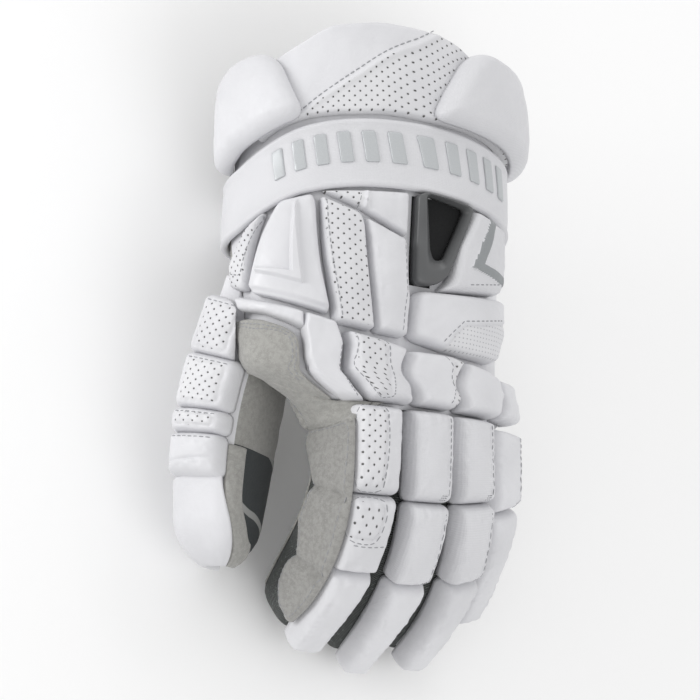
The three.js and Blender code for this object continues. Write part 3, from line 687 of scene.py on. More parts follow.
def punched_leather(name, colour, shade, dark, grid, hole, dish, depth):
    """White leather with holes on a grid: its spacing across and along, and the shift of every other row."""
    material, tree, shader = start_material(name)
    colour_out, height = leather_base(tree, shader, colour, shade)
    across, along = pattern_place(tree)
    wide, high, shift = grid
    row = maths(tree, "DIVIDE", along, high)
    odd = maths(tree, "MODULO", maths(tree, "ABSOLUTE", maths(tree, "FLOOR", row)), 2.0)
    column = maths(tree, "ADD", maths(tree, "DIVIDE", across, wide), maths(tree, "MULTIPLY", odd, shift))
    squares = []
    for cell, size in ((column, wide), (row, high)):
        off = maths(tree, "MULTIPLY", maths(tree, "SUBTRACT", maths(tree, "FRACT", cell), 0.5), size)
        squares.append(maths(tree, "MULTIPLY", off, off))
    far = maths(tree, "SQRT", maths(tree, "ADD", *squares))
    pierced = ramp(tree, far, *hole, 1.0, 0.0)
    # the holes are not cut: each is painted in the dark colour, which is painted shade inside the hole
    feed(tree, shader, Base_Color=mixed(tree, pierced, colour_out, linear(dark)), IOR=LEATHER_IOR)
    first = bumped(tree, shader, height, GRAIN_DEPTH, 0.5)
    bumped(tree, shader, ramp(tree, far, *dish), depth, 0.8, first)
    return material


def perforated_leather():
    # the same leather punched on a staggered grid: rows 2.3 mm apart, holes 5 mm apart, 0.9 mm across: crisp dark dots,
    # which are the painted shade inside each hole, since the holes are not cut
    return punched_leather("perforated_white_leather", "DCDCDE", "D3D3D6", "4C4B4A", grid=(5.0, 2.3, 0.5),
                           hole=(0.32, 0.54), dish=(0.2, 0.8), depth=0.0004)


def fine_perforated_leather():
    # thin white leather with a fine even grid of pin holes 2.1 mm apart, each painted grey as the shade inside it:
    # almost smooth from afar
    return punched_leather("pin_holed_white_leather", "DDDDDF", "D4D4D7", "A9AAAD", grid=(2.1, 2.1, 0.0),
                           hole=(0.16, 0.4), dish=(0.1, 0.5), depth=0.00025)


def textured_leather():
    # white leather embossed with a tight basket weave, 1.5 mm to a repeat: a faint woven sparkle, with the hollows of
    # the weave painted a little darker as painted shade
    material, tree, shader = start_material("embossed_white_leather")
    colour_out, height = leather_base(tree, shader, "DDDDE0", "D4D4D7", roughness=(0.36, 0.5))
    across, along = pattern_place(tree)
    a = maths(tree, "SINE", maths(tree, "MULTIPLY", maths(tree, "ADD", across, along), 2 * math.pi / 1.5))
    b = maths(tree, "SINE", maths(tree, "MULTIPLY", maths(tree, "SUBTRACT", across, along), 2 * math.pi / 1.5))
    weave = maths(tree, "MULTIPLY", a, b)
    level = ramp(tree, weave, -0.4, 0.4)
    # the low parts of the weave are painted a little darker: painted shade in the hollows of the emboss
    feed(tree, shader, Base_Color=mixed(tree, level, linear("D6D6D9"), colour_out), IOR=LEATHER_IOR)
    first = bumped(tree, shader, height, GRAIN_DEPTH, 0.4)
    bumped(tree, shader, level, 0.0001, 0.6, first)
    return material


def moulded_leather():
    # leather skin heat-moulded over firm foam: smoother and glossier than the pads
    material, tree, shader = start_material("moulded_white_skin")
    colour_out, height = leather_base(tree, shader, "DEDEE1", "D6D6D9", grain=1300.0, roughness=(0.3, 0.42))
    feed(tree, shader, Base_Color=colour_out)
    bumped(tree, shader, height, 0.00005, 0.4)
    return material


def suede(name="napped_grey_suede", colour="A5A4A0", shade="999894", fleck="BAB9B5"):
    # split leather with a brushed nap: matt, mottled, a little light at grazing angles
    material, tree, shader = start_material(name)
    nap = noise(tree, 1500.0, 6.0, Roughness=0.7)
    brushed = noise(tree, 420.0, 5.0)
    tone = mixed(tree, ramp(tree, brushed, 0.35, 0.65), linear(shade), linear(colour))
    feed(tree, shader, Base_Color=mixed(tree, ramp(tree, nap, 0.5, 0.75), tone, linear(fleck)), Roughness=0.95,
         Sheen_Weight=0.3, Sheen_Roughness=0.5, Specular_IOR_Level=0.2)
    bumped(tree, shader, nap, 0.0003, 0.8)
    return material


def ribbed_fabric():
    # dark warp knit with fine ribs along the finger, 0.9 mm apart, crossed by threads 0.7 mm apart; its colour follows
    # this relief, darker in the hollows and lighter on the tops, as painted shade and painted highlight, with random
    # paler flecks
    material, tree, shader = start_material("ribbed_dark_knit")
    across, along = pattern_place(tree)
    rib = maths(tree, "SINE", maths(tree, "MULTIPLY", along, 2 * math.pi / 0.9))
    cross = maths(tree, "SINE", maths(tree, "MULTIPLY", across, 2 * math.pi / 0.7))
    level = maths(tree, "ADD", maths(tree, "MULTIPLY", rib, 0.7), maths(tree, "MULTIPLY", cross, 0.3))
    # random paler flecks over the knit
    pale_flecks = noise(tree, 700.0, 3.0)
    # darker in the hollows of the ribs and lighter on their tops: painted shade and painted highlight that follow the
    # relief
    tone = mixed(tree, ramp(tree, level, -0.6, 0.8), linear("242726"), linear("666B68"))
    feed(tree, shader, Base_Color=mixed(tree, ramp(tree, pale_flecks, 0.55, 0.75), tone, linear("7A7F7C")), Roughness=0.88,
         Sheen_Weight=0.15)
    bumped(tree, shader, level, 0.0004, 1.0)
    return material


def lining_cloth():
    # brushed dark lining knit: matt, nearly black; inside the vent it also stands in as painted shade for the depth of
    # the opening
    material, tree, shader = start_material("brushed_dark_lining")
    fuzz = noise(tree, 900.0, 5.0)
    feed(tree, shader, Base_Color=mixed(tree, fuzz, linear("0E0E0F"), linear("1C1D1E")), Roughness=0.95)
    bumped(tree, shader, fuzz, 0.0002, 0.7)
    return material


def grip_print():
    # suede with a dark tacky print, left bare in slanted lines: near-black, slightly smoother than the nap
    material, tree, shader = start_material("printed_dark_grip")
    nap = noise(tree, 1100.0, 5.0)
    across, along = pattern_place(tree)
    slant = maths(tree, "ADD", maths(tree, "MULTIPLY", along, 0.8), maths(tree, "MULTIPLY", across, 0.6))
    band = maths(tree, "ABSOLUTE", maths(tree, "SUBTRACT", maths(tree, "FRACT", maths(tree, "DIVIDE", slant, 27.0)),
                                         0.5))
    line = ramp(tree, band, 0.045, 0.055, 1.0, 0.0)
    dark = mixed(tree, nap, linear("34383A"), linear("4A4E4F"))
    feed(tree, shader, Base_Color=mixed(tree, line, dark, linear("A5A6A4")), Roughness=0.7)
    bumped(tree, shader, nap, 0.0002, 0.6)
    return material


def grey_plastic():
    # injection-moulded thermoplastic with a light spark texture: satin mid grey
    material, tree, shader = start_material("moulded_grey_plastic")
    spark = noise(tree, 1800.0, 3.0)
    broad = noise(tree, 60.0, 2.0)
    feed(tree, shader, Base_Color=mixed(tree, broad, linear("545556"), linear("636465")),
         Roughness=ramp(tree, spark, 0.3, 0.7, 0.3, 0.42))
    bumped(tree, shader, spark, 0.00004, 0.5)
    return material


def silver_film(name="pressed_silver_film", low="B4B7B9", high="C6C9CB"):
    # heat-pressed silver-grey transfer film: smooth with a dull metallic glint
    material, tree, shader = start_material(name)
    flake = noise(tree, 2200.0, 2.0)
    feed(tree, shader, Base_Color=mixed(tree, flake, linear(low), linear(high)), Metallic=0.2,
         Roughness=ramp(tree, flake, 0.3, 0.7, 0.32, 0.45))
    return material


def thread():
    # twisted polyester sewing thread: light grey, matt
    material, tree, shader = start_material("twisted_thread")
    twist = noise(tree, 2600.0, 2.0)
    feed(tree, shader, Base_Color=mixed(tree, twist, linear("85868A"), linear("A9AAAD")), Roughness=0.8)
    bumped(tree, shader, twist, 0.0001, 0.6)
    return material


LOOKS = {}
MAKERS = {
    "white": white_leather, "perforated": perforated_leather, "textured": textured_leather,
    "moulded": moulded_leather, "suede": suede, "fine_holes": fine_perforated_leather, "ribbed": ribbed_fabric,
    "lining": lining_cloth, "grip": grip_print, "plastic": grey_plastic, "silver": silver_film, "thread": thread,
    "palm": lambda: suede("grey_palm_suede", "A5A4A0", "989793", "B8B6B2"),
    "chevron": lambda: silver_film("pressed_darker_film", "8A8D8F", "9DA0A2"),
    "side_suede": lambda: suede("darker_grey_suede", "9B9A97", "8E8D8A", "B0AFAC"),
}


def look(name):
    """The material of a finish, made when it is first asked for."""
    if name not in LOOKS:
        LOOKS[name] = MAKERS[name]()
    return LOOKS[name]


# the record's material slot for a finish
SLOTS = {
    "white": "white_leather", "perforated": "perforated_leather", "textured": "textured_leather",
    "moulded": "moulded_foam",
}


def hand_pattern(corners):
    """Corners given as degrees round the hand and shares of its length, as millimetres of pattern."""
    corners = np.asarray(corners, float)
    return np.stack([np.radians(corners[:, 0]) * ROUND_RADIUS, corners[:, 1] * HAND_LENGTH], -1)


# name, look, base, height, edge, corner radius, corners
HAND_PIECES = [
    ("side_panel", "perforated", BEND_CLEARANCE, PANEL_THICKNESS - 3, 2.5, 4,
     [[157, 0.812], [164.5, 0.69], [177.5, 0.462], [190, 0.49], [186, 0.6], [170, 0.745]]),
    ("back_panel_a", "perforated", CLEARANCE, PANEL_THICKNESS, 2.4, 2,
     [[128.9, 0.87], [111.5, 0.81], [109.2, 0.76], [106, 0.312], [123.6, 0.33], [127, 0.6]]),
    ("back_strip_b", "white", CLEARANCE, PANEL_THICKNESS, 2.6, 2,
     [[109.8, 0.795], [92.5, 0.72], [91.3, 0.467], [92.6, 0.302], [105, 0.308], [107.8, 0.7]]),
    ("upper_panel_c", "white", CLEARANCE, PANEL_THICKNESS - 3, 1.8, 2,
     [[128.6, 0.895], [91.8, 0.925], [91.8, 0.735], [110.6, 0.83]]),
    ("outer_roll", "textured", CLEARANCE, PANEL_THICKNESS, 3.4, 3,
     [[64, 0.9], [42, 0.85], [40, 0.69], [42, 0.568], [81, 0.522], [75.5, 0.585], [72.2, 0.735]]),
    ("outer_block", "textured", CLEARANCE, PANEL_THICKNESS + 1, 3.6, 4,
     [[90, 0.512], [42, 0.552], [37, 0.399], [44, 0.262], [65.6, 0.265], [79.8, 0.275], [91.6, 0.299]]),
    ("saddle_plate", "moulded", BEND_CLEARANCE, PANEL_THICKNESS - 2, 2.2, 2,
     [[184, 0.45], [170, 0.422], [145, 0.38], [139.4, 0.368], [140, 0.29], [150, 0.32], [166, 0.357], [183, 0.377]]),
    ("saddle_bar", "moulded", BEND_CLEARANCE, PANEL_THICKNESS - 1, 2.2, 2,
     [[123.6, 0.336], [120.8, 0.24], [122.4, 0.16], [129.8, 0.088], [142, 0.01], [161, 0.01], [154.5, 0.07],
      [141.8, 0.14], [140.6, 0.204], [141.6, 0.285], [139.2, 0.366]]),
    ("index_pad_1", "white", CLEARANCE, HAND_PAD_THICKNESS, 3.8, 3,
     [[119.3, 0.3], [106, 0.282], [93.2, 0.252], [99.0, 0.08], [109.8, 0.012], [138, 0.012], [126.6, 0.085],
      [119.6, 0.16], [118.2, 0.24]]),
    ("middle_pad_1", "white", CLEARANCE, HAND_PAD_THICKNESS, 3.8, 3,
     [[92.4, 0.249], [77.6, 0.254], [69.2, 0.235], [80, 0.048], [88, 0.013], [107, 0.012], [98.3, 0.08]]),
    ("ring_pad_1", "white", CLEARANCE, HAND_PAD_THICKNESS, 3.8, 3,
     [[68.3, 0.24], [56.1, 0.225], [46.5, 0.201], [43, 0.111], [56, 0.012], [85, 0.012], [79.2, 0.05]]),
    ("little_pad_1", "white", CLEARANCE, HAND_PAD_THICKNESS - 1, 4, 4,
     [[45, 0.2], [27, 0.2], [22, 0.012], [53, 0.012], [42, 0.1]]),
]
# rows of stitches on those pieces
HAND_SEAMS = {
    "side_panel": [[[158, 0.79], [166, 0.69], [177, 0.53], [184, 0.55]]],
    "back_panel_a": [[[126.5, 0.85], [124.5, 0.6], [121.5, 0.35]], [[109.6, 0.72], [108, 0.55], [107, 0.35]]],
    "back_strip_b": [[[94.4, 0.72], [93.7, 0.5], [95.6, 0.32]]],
    "outer_roll": [[[68, 0.57], [44, 0.612]]],
    "outer_block": [[[44.5, 0.452], [71.5, 0.405], [76.3, 0.357], [81, 0.3]]],
    "middle_pad_1": [[[81.5, 0.24], [78.4, 0.2], [80.8, 0.1], [90, 0.03]]],
    "saddle_bar": [[[123.4, 0.29], [122.6, 0.24], [124.2, 0.16], [131.4, 0.095], [145, 0.02]]],
    "upper_panel_c": [[[112.5, 0.8], [111, 0.91]]],
}
CHEVRON = [[51, 0.9], [60.5, 0.672], [44, 0.642], [44, 0.602], [67.5, 0.645], [55.5, 0.9]]
PLATE_CORNERS = [[149.5, 0.845], [132, 0.88], [130.4, 0.82], [128.8, 0.55], [125.6, 0.36], [145, 0.398], [170.5, 0.442],
    [172.5, 0.48], [160.5, 0.69]]
PATCH_CORNERS = [[196, 0.35], [183, 0.35], [167, 0.335], [151, 0.298], [144.8, 0.265], [143.2, 0.21], [144.8, 0.15],
                 [158, 0.08],
    [166, 0.012], [188, 0.03], [196, 0.12], [198, 0.25]]
VENT_OUTER = [[90, 0.93], [90, 0.535], [82.8, 0.542], [77.6, 0.583], [65, 0.905]]
VENT_INNER = [[86, 0.925], [84, 0.7], [82.4, 0.656], [78.2, 0.664], [68, 0.895]]
WINGS = {
    "left_wing": ("white", [[202, 1.04], [200, 1.36], [186, 1.445], [175, 1.478], [163, 1.5], [154, 1.5],
                            [147.5, 1.45], [143.5, 1.36],
        [136.5, 1.215], [150, 1.17], [168, 1.105], [186, 1.055]]),
    "right_wing": ("textured", [[86.5, 1.255], [81.5, 1.377], [70.5, 1.555], [59, 1.62], [34, 1.6], [18, 1.54],
                                [-2, 1.37], [-2, 1.13],
        [20, 1.165], [41.5, 1.205], [66, 1.235]]),
}
CUFF_EDGE = [
    [24, 1.175, 1.32], [40, 1.215, 1.42], [64, 1.245, 1.6], [76, 1.25, 1.655], [98, 1.26, 1.673], [113, 1.245, 1.65],
    [123, 1.235, 1.628], [137, 1.215, 1.553], [152.5, 1.175, 1.475], [166, 1.12, 1.39],
]
INDEX_SIDE = [
    (-0.3, 0.05), (0.96, 0.06), (0.96, 0.13), (0.78, 0.21), (0.62, 0.29), (0.72, 0.36),
    (0.76, 0.46), (0.62, 0.54), (0.5, 0.585), (0.6, 0.67), (0.53, 0.78), (0.26, 0.86),
    (-0.15, 0.87), (-0.28, 0.7), (-0.34, 0.45),
]
# shares of the half width that the pads lose on each side towards the tip, where mesh shows beside them
TIP_SLIMMING = {"index": (0.0, 0.28), "middle": (0.38, 0.1), "ring": (0.4, 0.05), "little": (0.25, 0.0)}
PAD_TAPER = [[0, 1], [0.5, 1], [0.75, 0.9], [1, 0.78]]
THUMB_PADS = [(0.08, 0.29, -0.95, 0.7), (0.29, 0.49, -0.98, 0.85), (0.49, 0.58, -0.98, 0.85), (0.58, 0.725, -0.95, 0.8)]


def slab(name, place, us, vs, base, thickness, edge, materials, zone=None, features=(), wobble=0.2, seed=3):
    """A wide padded sheet on a grid, thick in the middle and rounded at its edges."""
    u, v = np.meshgrid(us, vs)
    uv = np.stack([u, v], -1)
    scale = getattr(place, "scale", (1.0, 1.0))
    du = np.minimum(u - us[0], us[-1] - u) * scale[0]
    dv = np.minimum(v - vs[0], vs[-1] - v) * scale[1]
    d = np.minimum(np.maximum(du, 0), np.maximum(dv, 0))
    x = np.clip(d / edge, 0, 1)
    rise = (1 - (1 - x) ** 2.2) ** (1 / 2.2)
    real = np.stack([u * scale[0], v * scale[1]], -1)
    h = thickness * rise + wobble * ripple(real, seed) * rise * 0.5
    for feature in features:
        h = h + feature(uv) * rise
    top = place(u, v, base + h)
    low = place(u, v, np.full(u.shape, base))
    rows, cols = u.shape
    points = np.concatenate([top.reshape(-1, 3), low.reshape(-1, 3)])
    uvs = np.concatenate([real.reshape(-1, 2)] * 2)
    n = rows * cols
    faces = []
    for j in range(rows - 1):
        for i in range(cols - 1):
            a = j * cols + i
            faces.append((a, a + 1, a + cols + 1, a + cols))
            faces.append((n + a, n + a + cols, n + a + cols + 1, n + a + 1))
    rim = ([j * cols for j in range(rows)] + [(rows - 1) * cols + i for i in range(1, cols)]
           + [j * cols + cols - 1 for j in range(rows - 2, -1, -1)] + [i for i in range(cols - 2, 0, -1)])
    for k in range(len(rim)):
        a, b = rim[k], rim[(k + 1) % len(rim)]
        faces.append((a, b, n + b, n + a))
    faces = outward(points, faces)
    index = None
    if zone is not None:
        flat_uv = np.concatenate([uv.reshape(-1, 2)] * 2)
        centres = np.array([flat_uv[list(f)].mean(0) for f in faces])
        lower = np.array([min(f) >= n for f in faces])
        index = zone(centres, lower).astype(int)
    return to_mesh(name, points, faces, uvs, materials, index)


def strung(columns, out):
    """A surface strung between pairs of points and bowed outward, as a place function."""
    table = np.array([[k, *a, *b] for k, (a, b) in enumerate(columns)], float)
    out = np.array(out, float)

    def at(u, v):
        both = blend_rows(table, u)
        v = np.asarray(v, float)[..., None]
        return both[..., :3] * (1 - v) + both[..., 3:] * v + out * v * (1 - v) * 4

    def place(u, v, h):
        u, v = np.asarray(u, float), np.asarray(v, float)
        normal = np.cross(at(u + 0.02, v) - at(u - 0.02, v), at(u, v + 0.02) - at(u, v - 0.02))
        normal /= np.linalg.norm(normal, axis=-1, keepdims=True) + 1e-9
        normal *= np.where(normal @ out > 0, 1, -1)[..., None]
        return at(u, v) + normal * np.asarray(h, float)[..., None]
    return place


def tube(name, points, radius, materials, sides=16, rows=120):
    """A stuffed roll along a line, closed at both ends."""
    line = np.asarray(points, float)
    table = np.hstack([np.arange(len(line))[:, None], line])
    at = np.linspace(0, len(line) - 1, rows)
    middle = blend_rows(table, at)
    ahead = np.gradient(middle, axis=0)
    ahead /= np.linalg.norm(ahead, axis=1, keepdims=True)
    side = np.cross(ahead, [0.0, 0.0, 1.0])
    side /= np.linalg.norm(side, axis=1, keepdims=True)
    up = np.cross(side, ahead)
    turns = np.arange(sides) / sides * 2 * math.pi
    gathers = 1 + 0.07 * np.sin(np.arange(rows) * 0.95) + 0.04 * np.sin(np.arange(rows) * 2.3)
    size = radius * gathers * np.sqrt(np.clip(1 - np.abs(np.linspace(-1, 1, rows)) ** 12, 0.02, 1))
    rings = middle[:, None] + size[:, None, None] * (side[:, None] * np.cos(turns)[None, :, None]
                                                     + up[:, None] * np.sin(turns)[None, :, None])
    points = np.vstack([rings.reshape(-1, 3), middle[[0, -1]]])
    length = np.concatenate([[0], np.cumsum(np.linalg.norm(np.diff(middle, axis=0), axis=1))])
    uv = np.stack(np.broadcast_arrays(turns[None] * radius, length[:, None]), -1).reshape(-1, 2)
    uv = np.vstack([uv, [[0, 0], [0, length[-1]]]])
    return to_mesh(name, points, outward(points, rings_faces(rows, sides)), uv, materials)


def arc_length(points):
    """Length of a line through points."""
    return np.linalg.norm(np.diff(points, axis=0), axis=1).sum()


def cut_of(surface, across, along, dome=0.0):
    """Flat size and area that a sheet is cut to: widths at even stations, its length and the dome that closes it."""
    over, down = np.linspace(*across, 61), np.linspace(*along, 61)
    widths = [arc_length(surface(over, np.full(61, v), 0)) for v in np.linspace(*along, 9)]
    length = arc_length(surface(np.full(61, np.mean(across)), down, 0))
    area = np.mean(widths) * length + widths[-1] * dome
    return (max(widths) * MM, (length + dome * math.pi / 2) * MM), area * MM * MM


def cut_sheet(obj, rests_on, *cut):
    """Works out the flat size and area that a sheet is cut to, and leaves them unused."""
    flat, area = cut_of(*cut)


def hollow_sleeve(name, limb, wall, rounding, materials, count=72, rows=70, zone=None, seam=90):
    """A cloth tube, open at the hand and closed round the tip."""
    straight = limb.length - rounding
    turns = seam + np.arange(count) / count * 360
    outer, inner, uvs = [], [], []
    for along in np.linspace(0, straight, rows):
        crease = 0.25 * np.sin(along / 2.1) * ease((along - limb.length * 0.25) / 12)
        crease = crease * ease((limb.length * 0.7 - along) / 12)
        grip = np.clip(-np.sin(np.radians(turns)), 0, 1)
        outer.append(limb.section(along, turns, -crease * grip))
        inner.append(limb.section(along, turns, wall))
        uvs.append(along)
    for angle in (18, 34, 48, 60, 70, 79):
        a = math.radians(angle)
        outer.append(limb.section(straight + math.sin(a) * rounding, turns, 0, math.cos(a)))
        inner.append(limb.section(straight + math.sin(a) * (rounding - wall), turns, wall, math.cos(a)))
        uvs.append(straight + rounding * a)
    rings = outer[::-1] + inner
    places = uvs[::-1] + uvs
    ends = np.array([limb.section(limb.length, 0, 0, 0), limb.section(limb.length - wall, 0, 0, 0)])
    points = np.vstack([np.concatenate(rings), ends])
    around = (turns - seam) / 360 * SLEEVE_GIRTH
    uv = np.vstack([np.stack([np.broadcast_to(around, (count,)), np.full(count, p)], -1) for p in places] + [[[0, 0],
                                                                                                              [0, 0]]])
    faces = rings_faces(len(rings), count)
    index = np.zeros(len(faces), int)
    half = len(outer) * count
    for k, f in enumerate(faces):
        spot = uv[list(f)]
        around_mean = spot[:, 0].mean() if np.ptp(spot[:, 0]) < SLEEVE_GIRTH / 2 else 0.0
        index[k] = 1 if min(f) >= half else zone(around_mean, spot[:, 1].mean()) if zone else 0
    turned = outward(points, faces)
    return to_mesh(name, points, turned, uv, materials, index)


def thumb_zone(around, along):
    """Finish of the thumb sleeve: white over its back, suede inside, dark print towards the tip."""
    turn = (around / SLEEVE_GIRTH * 360 + THUMB_SEAM) % 360
    if 42 < turn < 215:
        return 3
    return 2 if along > GRIP_START else 0


def cut_by_hand(obj, grow=CLEARANCE):
    """Trims a piece where it would run into the hand."""
    count = 96
    rings = []
    for along in np.linspace(0, BACK_LENGTH, 70):
        reach = along - (grow if along == 0 else 0)
        rings.append(hand_point(np.arange(count) / count * 360, reach, grow))
    points = np.concatenate(rings)
    ends = np.array([rings[0].mean(0), rings[-1].mean(0)])
    points = np.vstack([points, ends])
    block = to_mesh("hand_block", points, outward(points, rings_faces(len(rings), count)))
    cut = obj.modifiers.new("trim", "BOOLEAN")
    cut.operation, cut.object, cut.solver = "DIFFERENCE", block, "EXACT"
    bpy.context.view_layer.update()
    depsgraph = bpy.context.evaluated_depsgraph_get()
    mesh = bpy.data.meshes.new_from_object(obj.evaluated_get(depsgraph))
    obj.modifiers.remove(cut)
    obj.data = mesh
    bpy.data.objects.remove(block)


class GloveSizes(bpy.types.PropertyGroup):
    """Sizes of the dressed pieces that a user would change."""
    wrinkle: bpy.props.FloatProperty(
        name="Unevenness", description="Height of the soft unevenness of the stuffed pads",
        default=0.00045, min=0.0, unit="LENGTH", subtype="DISTANCE", precision=5)
    stitch_spacing: bpy.props.FloatProperty(
        name="Stitch spacing", description="Distance between the stitches of a seam",
        default=0.003, min=0.0005, unit="LENGTH", subtype="DISTANCE", precision=4)


class GLOVE_OT_finger_pads(bpy.types.Operator):
    """Builds the foam pads along the fingers."""
    bl_idname = "glove.finger_pads"
    bl_label = "Finger pads"

    def execute(self, context):
        wobble = chosen_size("wrinkle")
        seed = 10
        for name, (length, *_, rows) in FINGERS.items():
            limb = LIMBS[name]
            w = FINGER_PAD_WIDTH / 2
            for i, (start, end) in enumerate(rows):
                seed += 1
                a, b = start * length, end * length
                near, far = w * blend_rows(PAD_TAPER, start)[0], w * blend_rows(PAD_TAPER, end)[0]
                left, right = TIP_SLIMMING[name]
                corners = [(-near * (1 - left * start), a), (near * (1 - right * start), a),
                           (far * (1 - right * end), b),
                           (-far * (1 - left * end), b)]
                tip = i == len(rows) - 1
                finish, field, features, lines = "white", None, [], []
                span = b - a
                if name == "index" and i == 0:
                    field = [(-w + 1.5, a + 2), (w * 0.13, a + 2), (w * 0.05, b - 2), (-w + 1.5, b - 2)]
                elif name == "index" and i == 1:
                    field = [(-w + 1.5, a + 2), (w * 0.22, a + 2), (w * 0.3, a + span * 0.2),
                             (w * 0.12, a + span * 0.48),
                             (-w + 1.5, a + span * 0.5)]
                    lines = [[(-w + 2.5, a + span * 0.57), (w * 0.5, a + span * 0.55)]]
                elif name in ("middle", "ring", "little") and not tip:
                    finish = "white" if name == "little" else "textured"
                    lines = [[(w * 0.52, a + 2.5), (w * 0.55, b - 2.5)]]
                    features = [groove(lines[0], 1.1, 0.5)]
                materials, zone = [look(finish)], None
                if field:
                    pierced = rounded(field, 60, 3)
                    features = [groove(pierced, 1.2, 0.7, True)]
                    zone = within(pierced)
                    materials = [look("white"), look("perforated")]
                pad = Pad(limb.back, corners, base=SEAT, height=PAD_THICKNESS, crown=1.2, radius=3.4, edge=4.2,
                          gap=-0.1, rows=24, seed=seed, wobble=wobble, features=features, pucker=0.45)
                obj = pad.build(f"{name}_pad_{i + 2}_cover", materials, zone)
                finish_piece(obj, "perforated_leather" if zone else SLOTS[finish], f"{name}_pad_{i + 2}")
                if zone:
                    sew(pad.surface, Pad(limb.back, pierced, gap=-1.2).outline, closed=True)
                for line in lines:
                    sew(pad.surface, np.array(line) + [1.2, 0])
                if not tip and name != "index":
                    for offset in (0.0, 0.7, 1.4):
                        sew(pad.surface, [(w * 0.3, b - 1.4 - offset), (w * 0.62, b - 1.4 - offset)], 1.1, 0.9, 0.26)
        return {"FINISHED"}


class GLOVE_OT_hand_pads(bpy.types.Operator):
    """Builds the pads and panels on the back of the hand."""
    bl_idname = "glove.hand_pads"
    bl_label = "Hand pads"

    def execute(self, context):
        wobble = chosen_size("wrinkle")
        for k, (name, finish, base, height, edge, radius, corners) in enumerate(HAND_PIECES):
            pattern = hand_pattern(corners)
            crown = 1.0
            materials, zone, features = [look(finish)], None, []
            if name == "index_pad_1":
                pierced = rounded(hand_pattern([[117.5, 0.288], [106.5, 0.272], [103.8, 0.24], [104.8, 0.126],
                                                [121, 0.035],
                                                [131, 0.026], [122.6, 0.09], [117, 0.16], [115.8, 0.24]]), 80, 3)
                features = [groove(pierced, 1.2, 0.7, True)]
                zone = within(pierced)
                materials = [look("white"), look("perforated")]
            if name == "middle_pad_1":
                strip = hand_pattern([[80, 0.27], [77, 0.2], [79.5, 0.1], [92, 0], [60, 0], [60, 0.27]])
                features = [groove(strip[:4], 1.2, 0.8)]
                zone = within(strip)
                materials = [look("white"), look("perforated")]
            elif name == "upper_panel_c":
                strip = hand_pattern([[112, 0.7], [109.5, 0.95], [140, 0.95], [140, 0.7]])
                features = [raised(hand_pattern([[111.3, 0.7], [108.8, 0.95], [107.6, 0.95], [110.1, 0.7]]), 1.6, 1.2)]
                zone = within(strip)
                materials = [look("white"), look("perforated")]
            elif name == "back_panel_a":
                pipe = hand_pattern([[111, 0.8], [108.4, 0.76], [105.6, 0.32]])
                features = [lambda uv, p=pipe: 0.9 * np.exp(-(distance_to(uv, p) / 1.1) ** 2),
                            groove(pipe - [2.2, 0], 0.9, 0.5)]
            elif name == "back_strip_b":
                features = [groove(hand_pattern([[93.8, 0.75], [93, 0.5], [95, 0.28]]), 1.0, 0.7)]
            elif name == "side_panel":
                pipe = hand_pattern([[170, 0.75], [184, 0.64], [188, 0.54]])
                features = [lambda uv, p=pipe: 0.8 * np.exp(-(distance_to(uv, p) / 1.2) ** 2)]
            elif name == "outer_roll":
                features = [raised(hand_pattern(CHEVRON), 0.8, 0.5),
                            groove(hand_pattern([[70, 0.55], [40, 0.595]]), 1.2, 0.7)]
                zone = lambda uv: inside(uv, hand_pattern(CHEVRON))
                materials = [look("textured"), look("chevron")]
            elif name == "outer_block":
                inlay = hand_pattern([[30, 0.45], [44.5, 0.435], [70.5, 0.389], [74.5, 0.349], [79.5, 0.27],
                                      [75, 0.2], [30, 0.2]])
                features = [groove(inlay[:5], 1.2, 0.8), raised(inlay, -0.6, 1.0)]
                zone = within(inlay)
                materials = [look("white"), look("fine_holes")]
            pad = Pad(on_hand, pattern, base=base, height=height, crown=crown, radius=radius, edge=edge, gap=0.0,
                      count=160, rows=24, seed=40 + k, wobble=wobble, features=features, pucker=0.2)
            if finish == "perforated":
                zone = lambda uv, p=pad: distance_to(uv, p.outline, True) > p.edge * 0.55
                materials = [look("white"), look("perforated")]
            obj = pad.build(name + "_cover", materials, zone)
            finish_piece(obj, SLOTS[finish] if zone is None else "perforated_leather", name)
            if name == "index_pad_1":
                sew(pad.surface, Pad(on_hand, pierced, gap=-1.2).outline, closed=True)
            for row in HAND_SEAMS.get(name, ()):
                sew(pad.surface, hand_pattern(row))
        return {"FINISHED"}


class GLOVE_OT_wrist_plate(bpy.types.Operator):
    """Builds the moulded plate with its raised ridge."""
    bl_idname = "glove.wrist_plate"
    bl_label = "Wrist plate"

    def execute(self, context):
        pattern = hand_pattern(PLATE_CORNERS)
        ridge = hand_pattern([[140.8, 0.83], [139.9, 0.83], [140.4, 0.478], [163.5, 0.528], [163.5, 0.545],
                              [145.2, 0.525]])
        hem = hand_pattern([[124, 0.372], [145, 0.416], [172, 0.464]])
        bevel = hand_pattern([[150.5, 0.86], [158.5, 0.69], [170, 0.49], [185, 0.49], [175, 0.86]])
        features = [raised(ridge, 2.6, 0.8), groove(hem, 1.6, 1.5), raised(bevel, -2.2, 5.0)]
        pad = Pad(on_hand, pattern, base=BEND_CLEARANCE, height=PLATE_THICKNESS - 2, edge=4, gap=0.0, count=220,
                  rows=70, power=2.4, seed=77, wobble=0.12, features=features, pucker=0.1)
        obj = pad.build("wrist_plate_cover", [look("moulded")])
        finish_piece(obj, "moulded_foam", "wrist_plate")
        return {"FINISHED"}


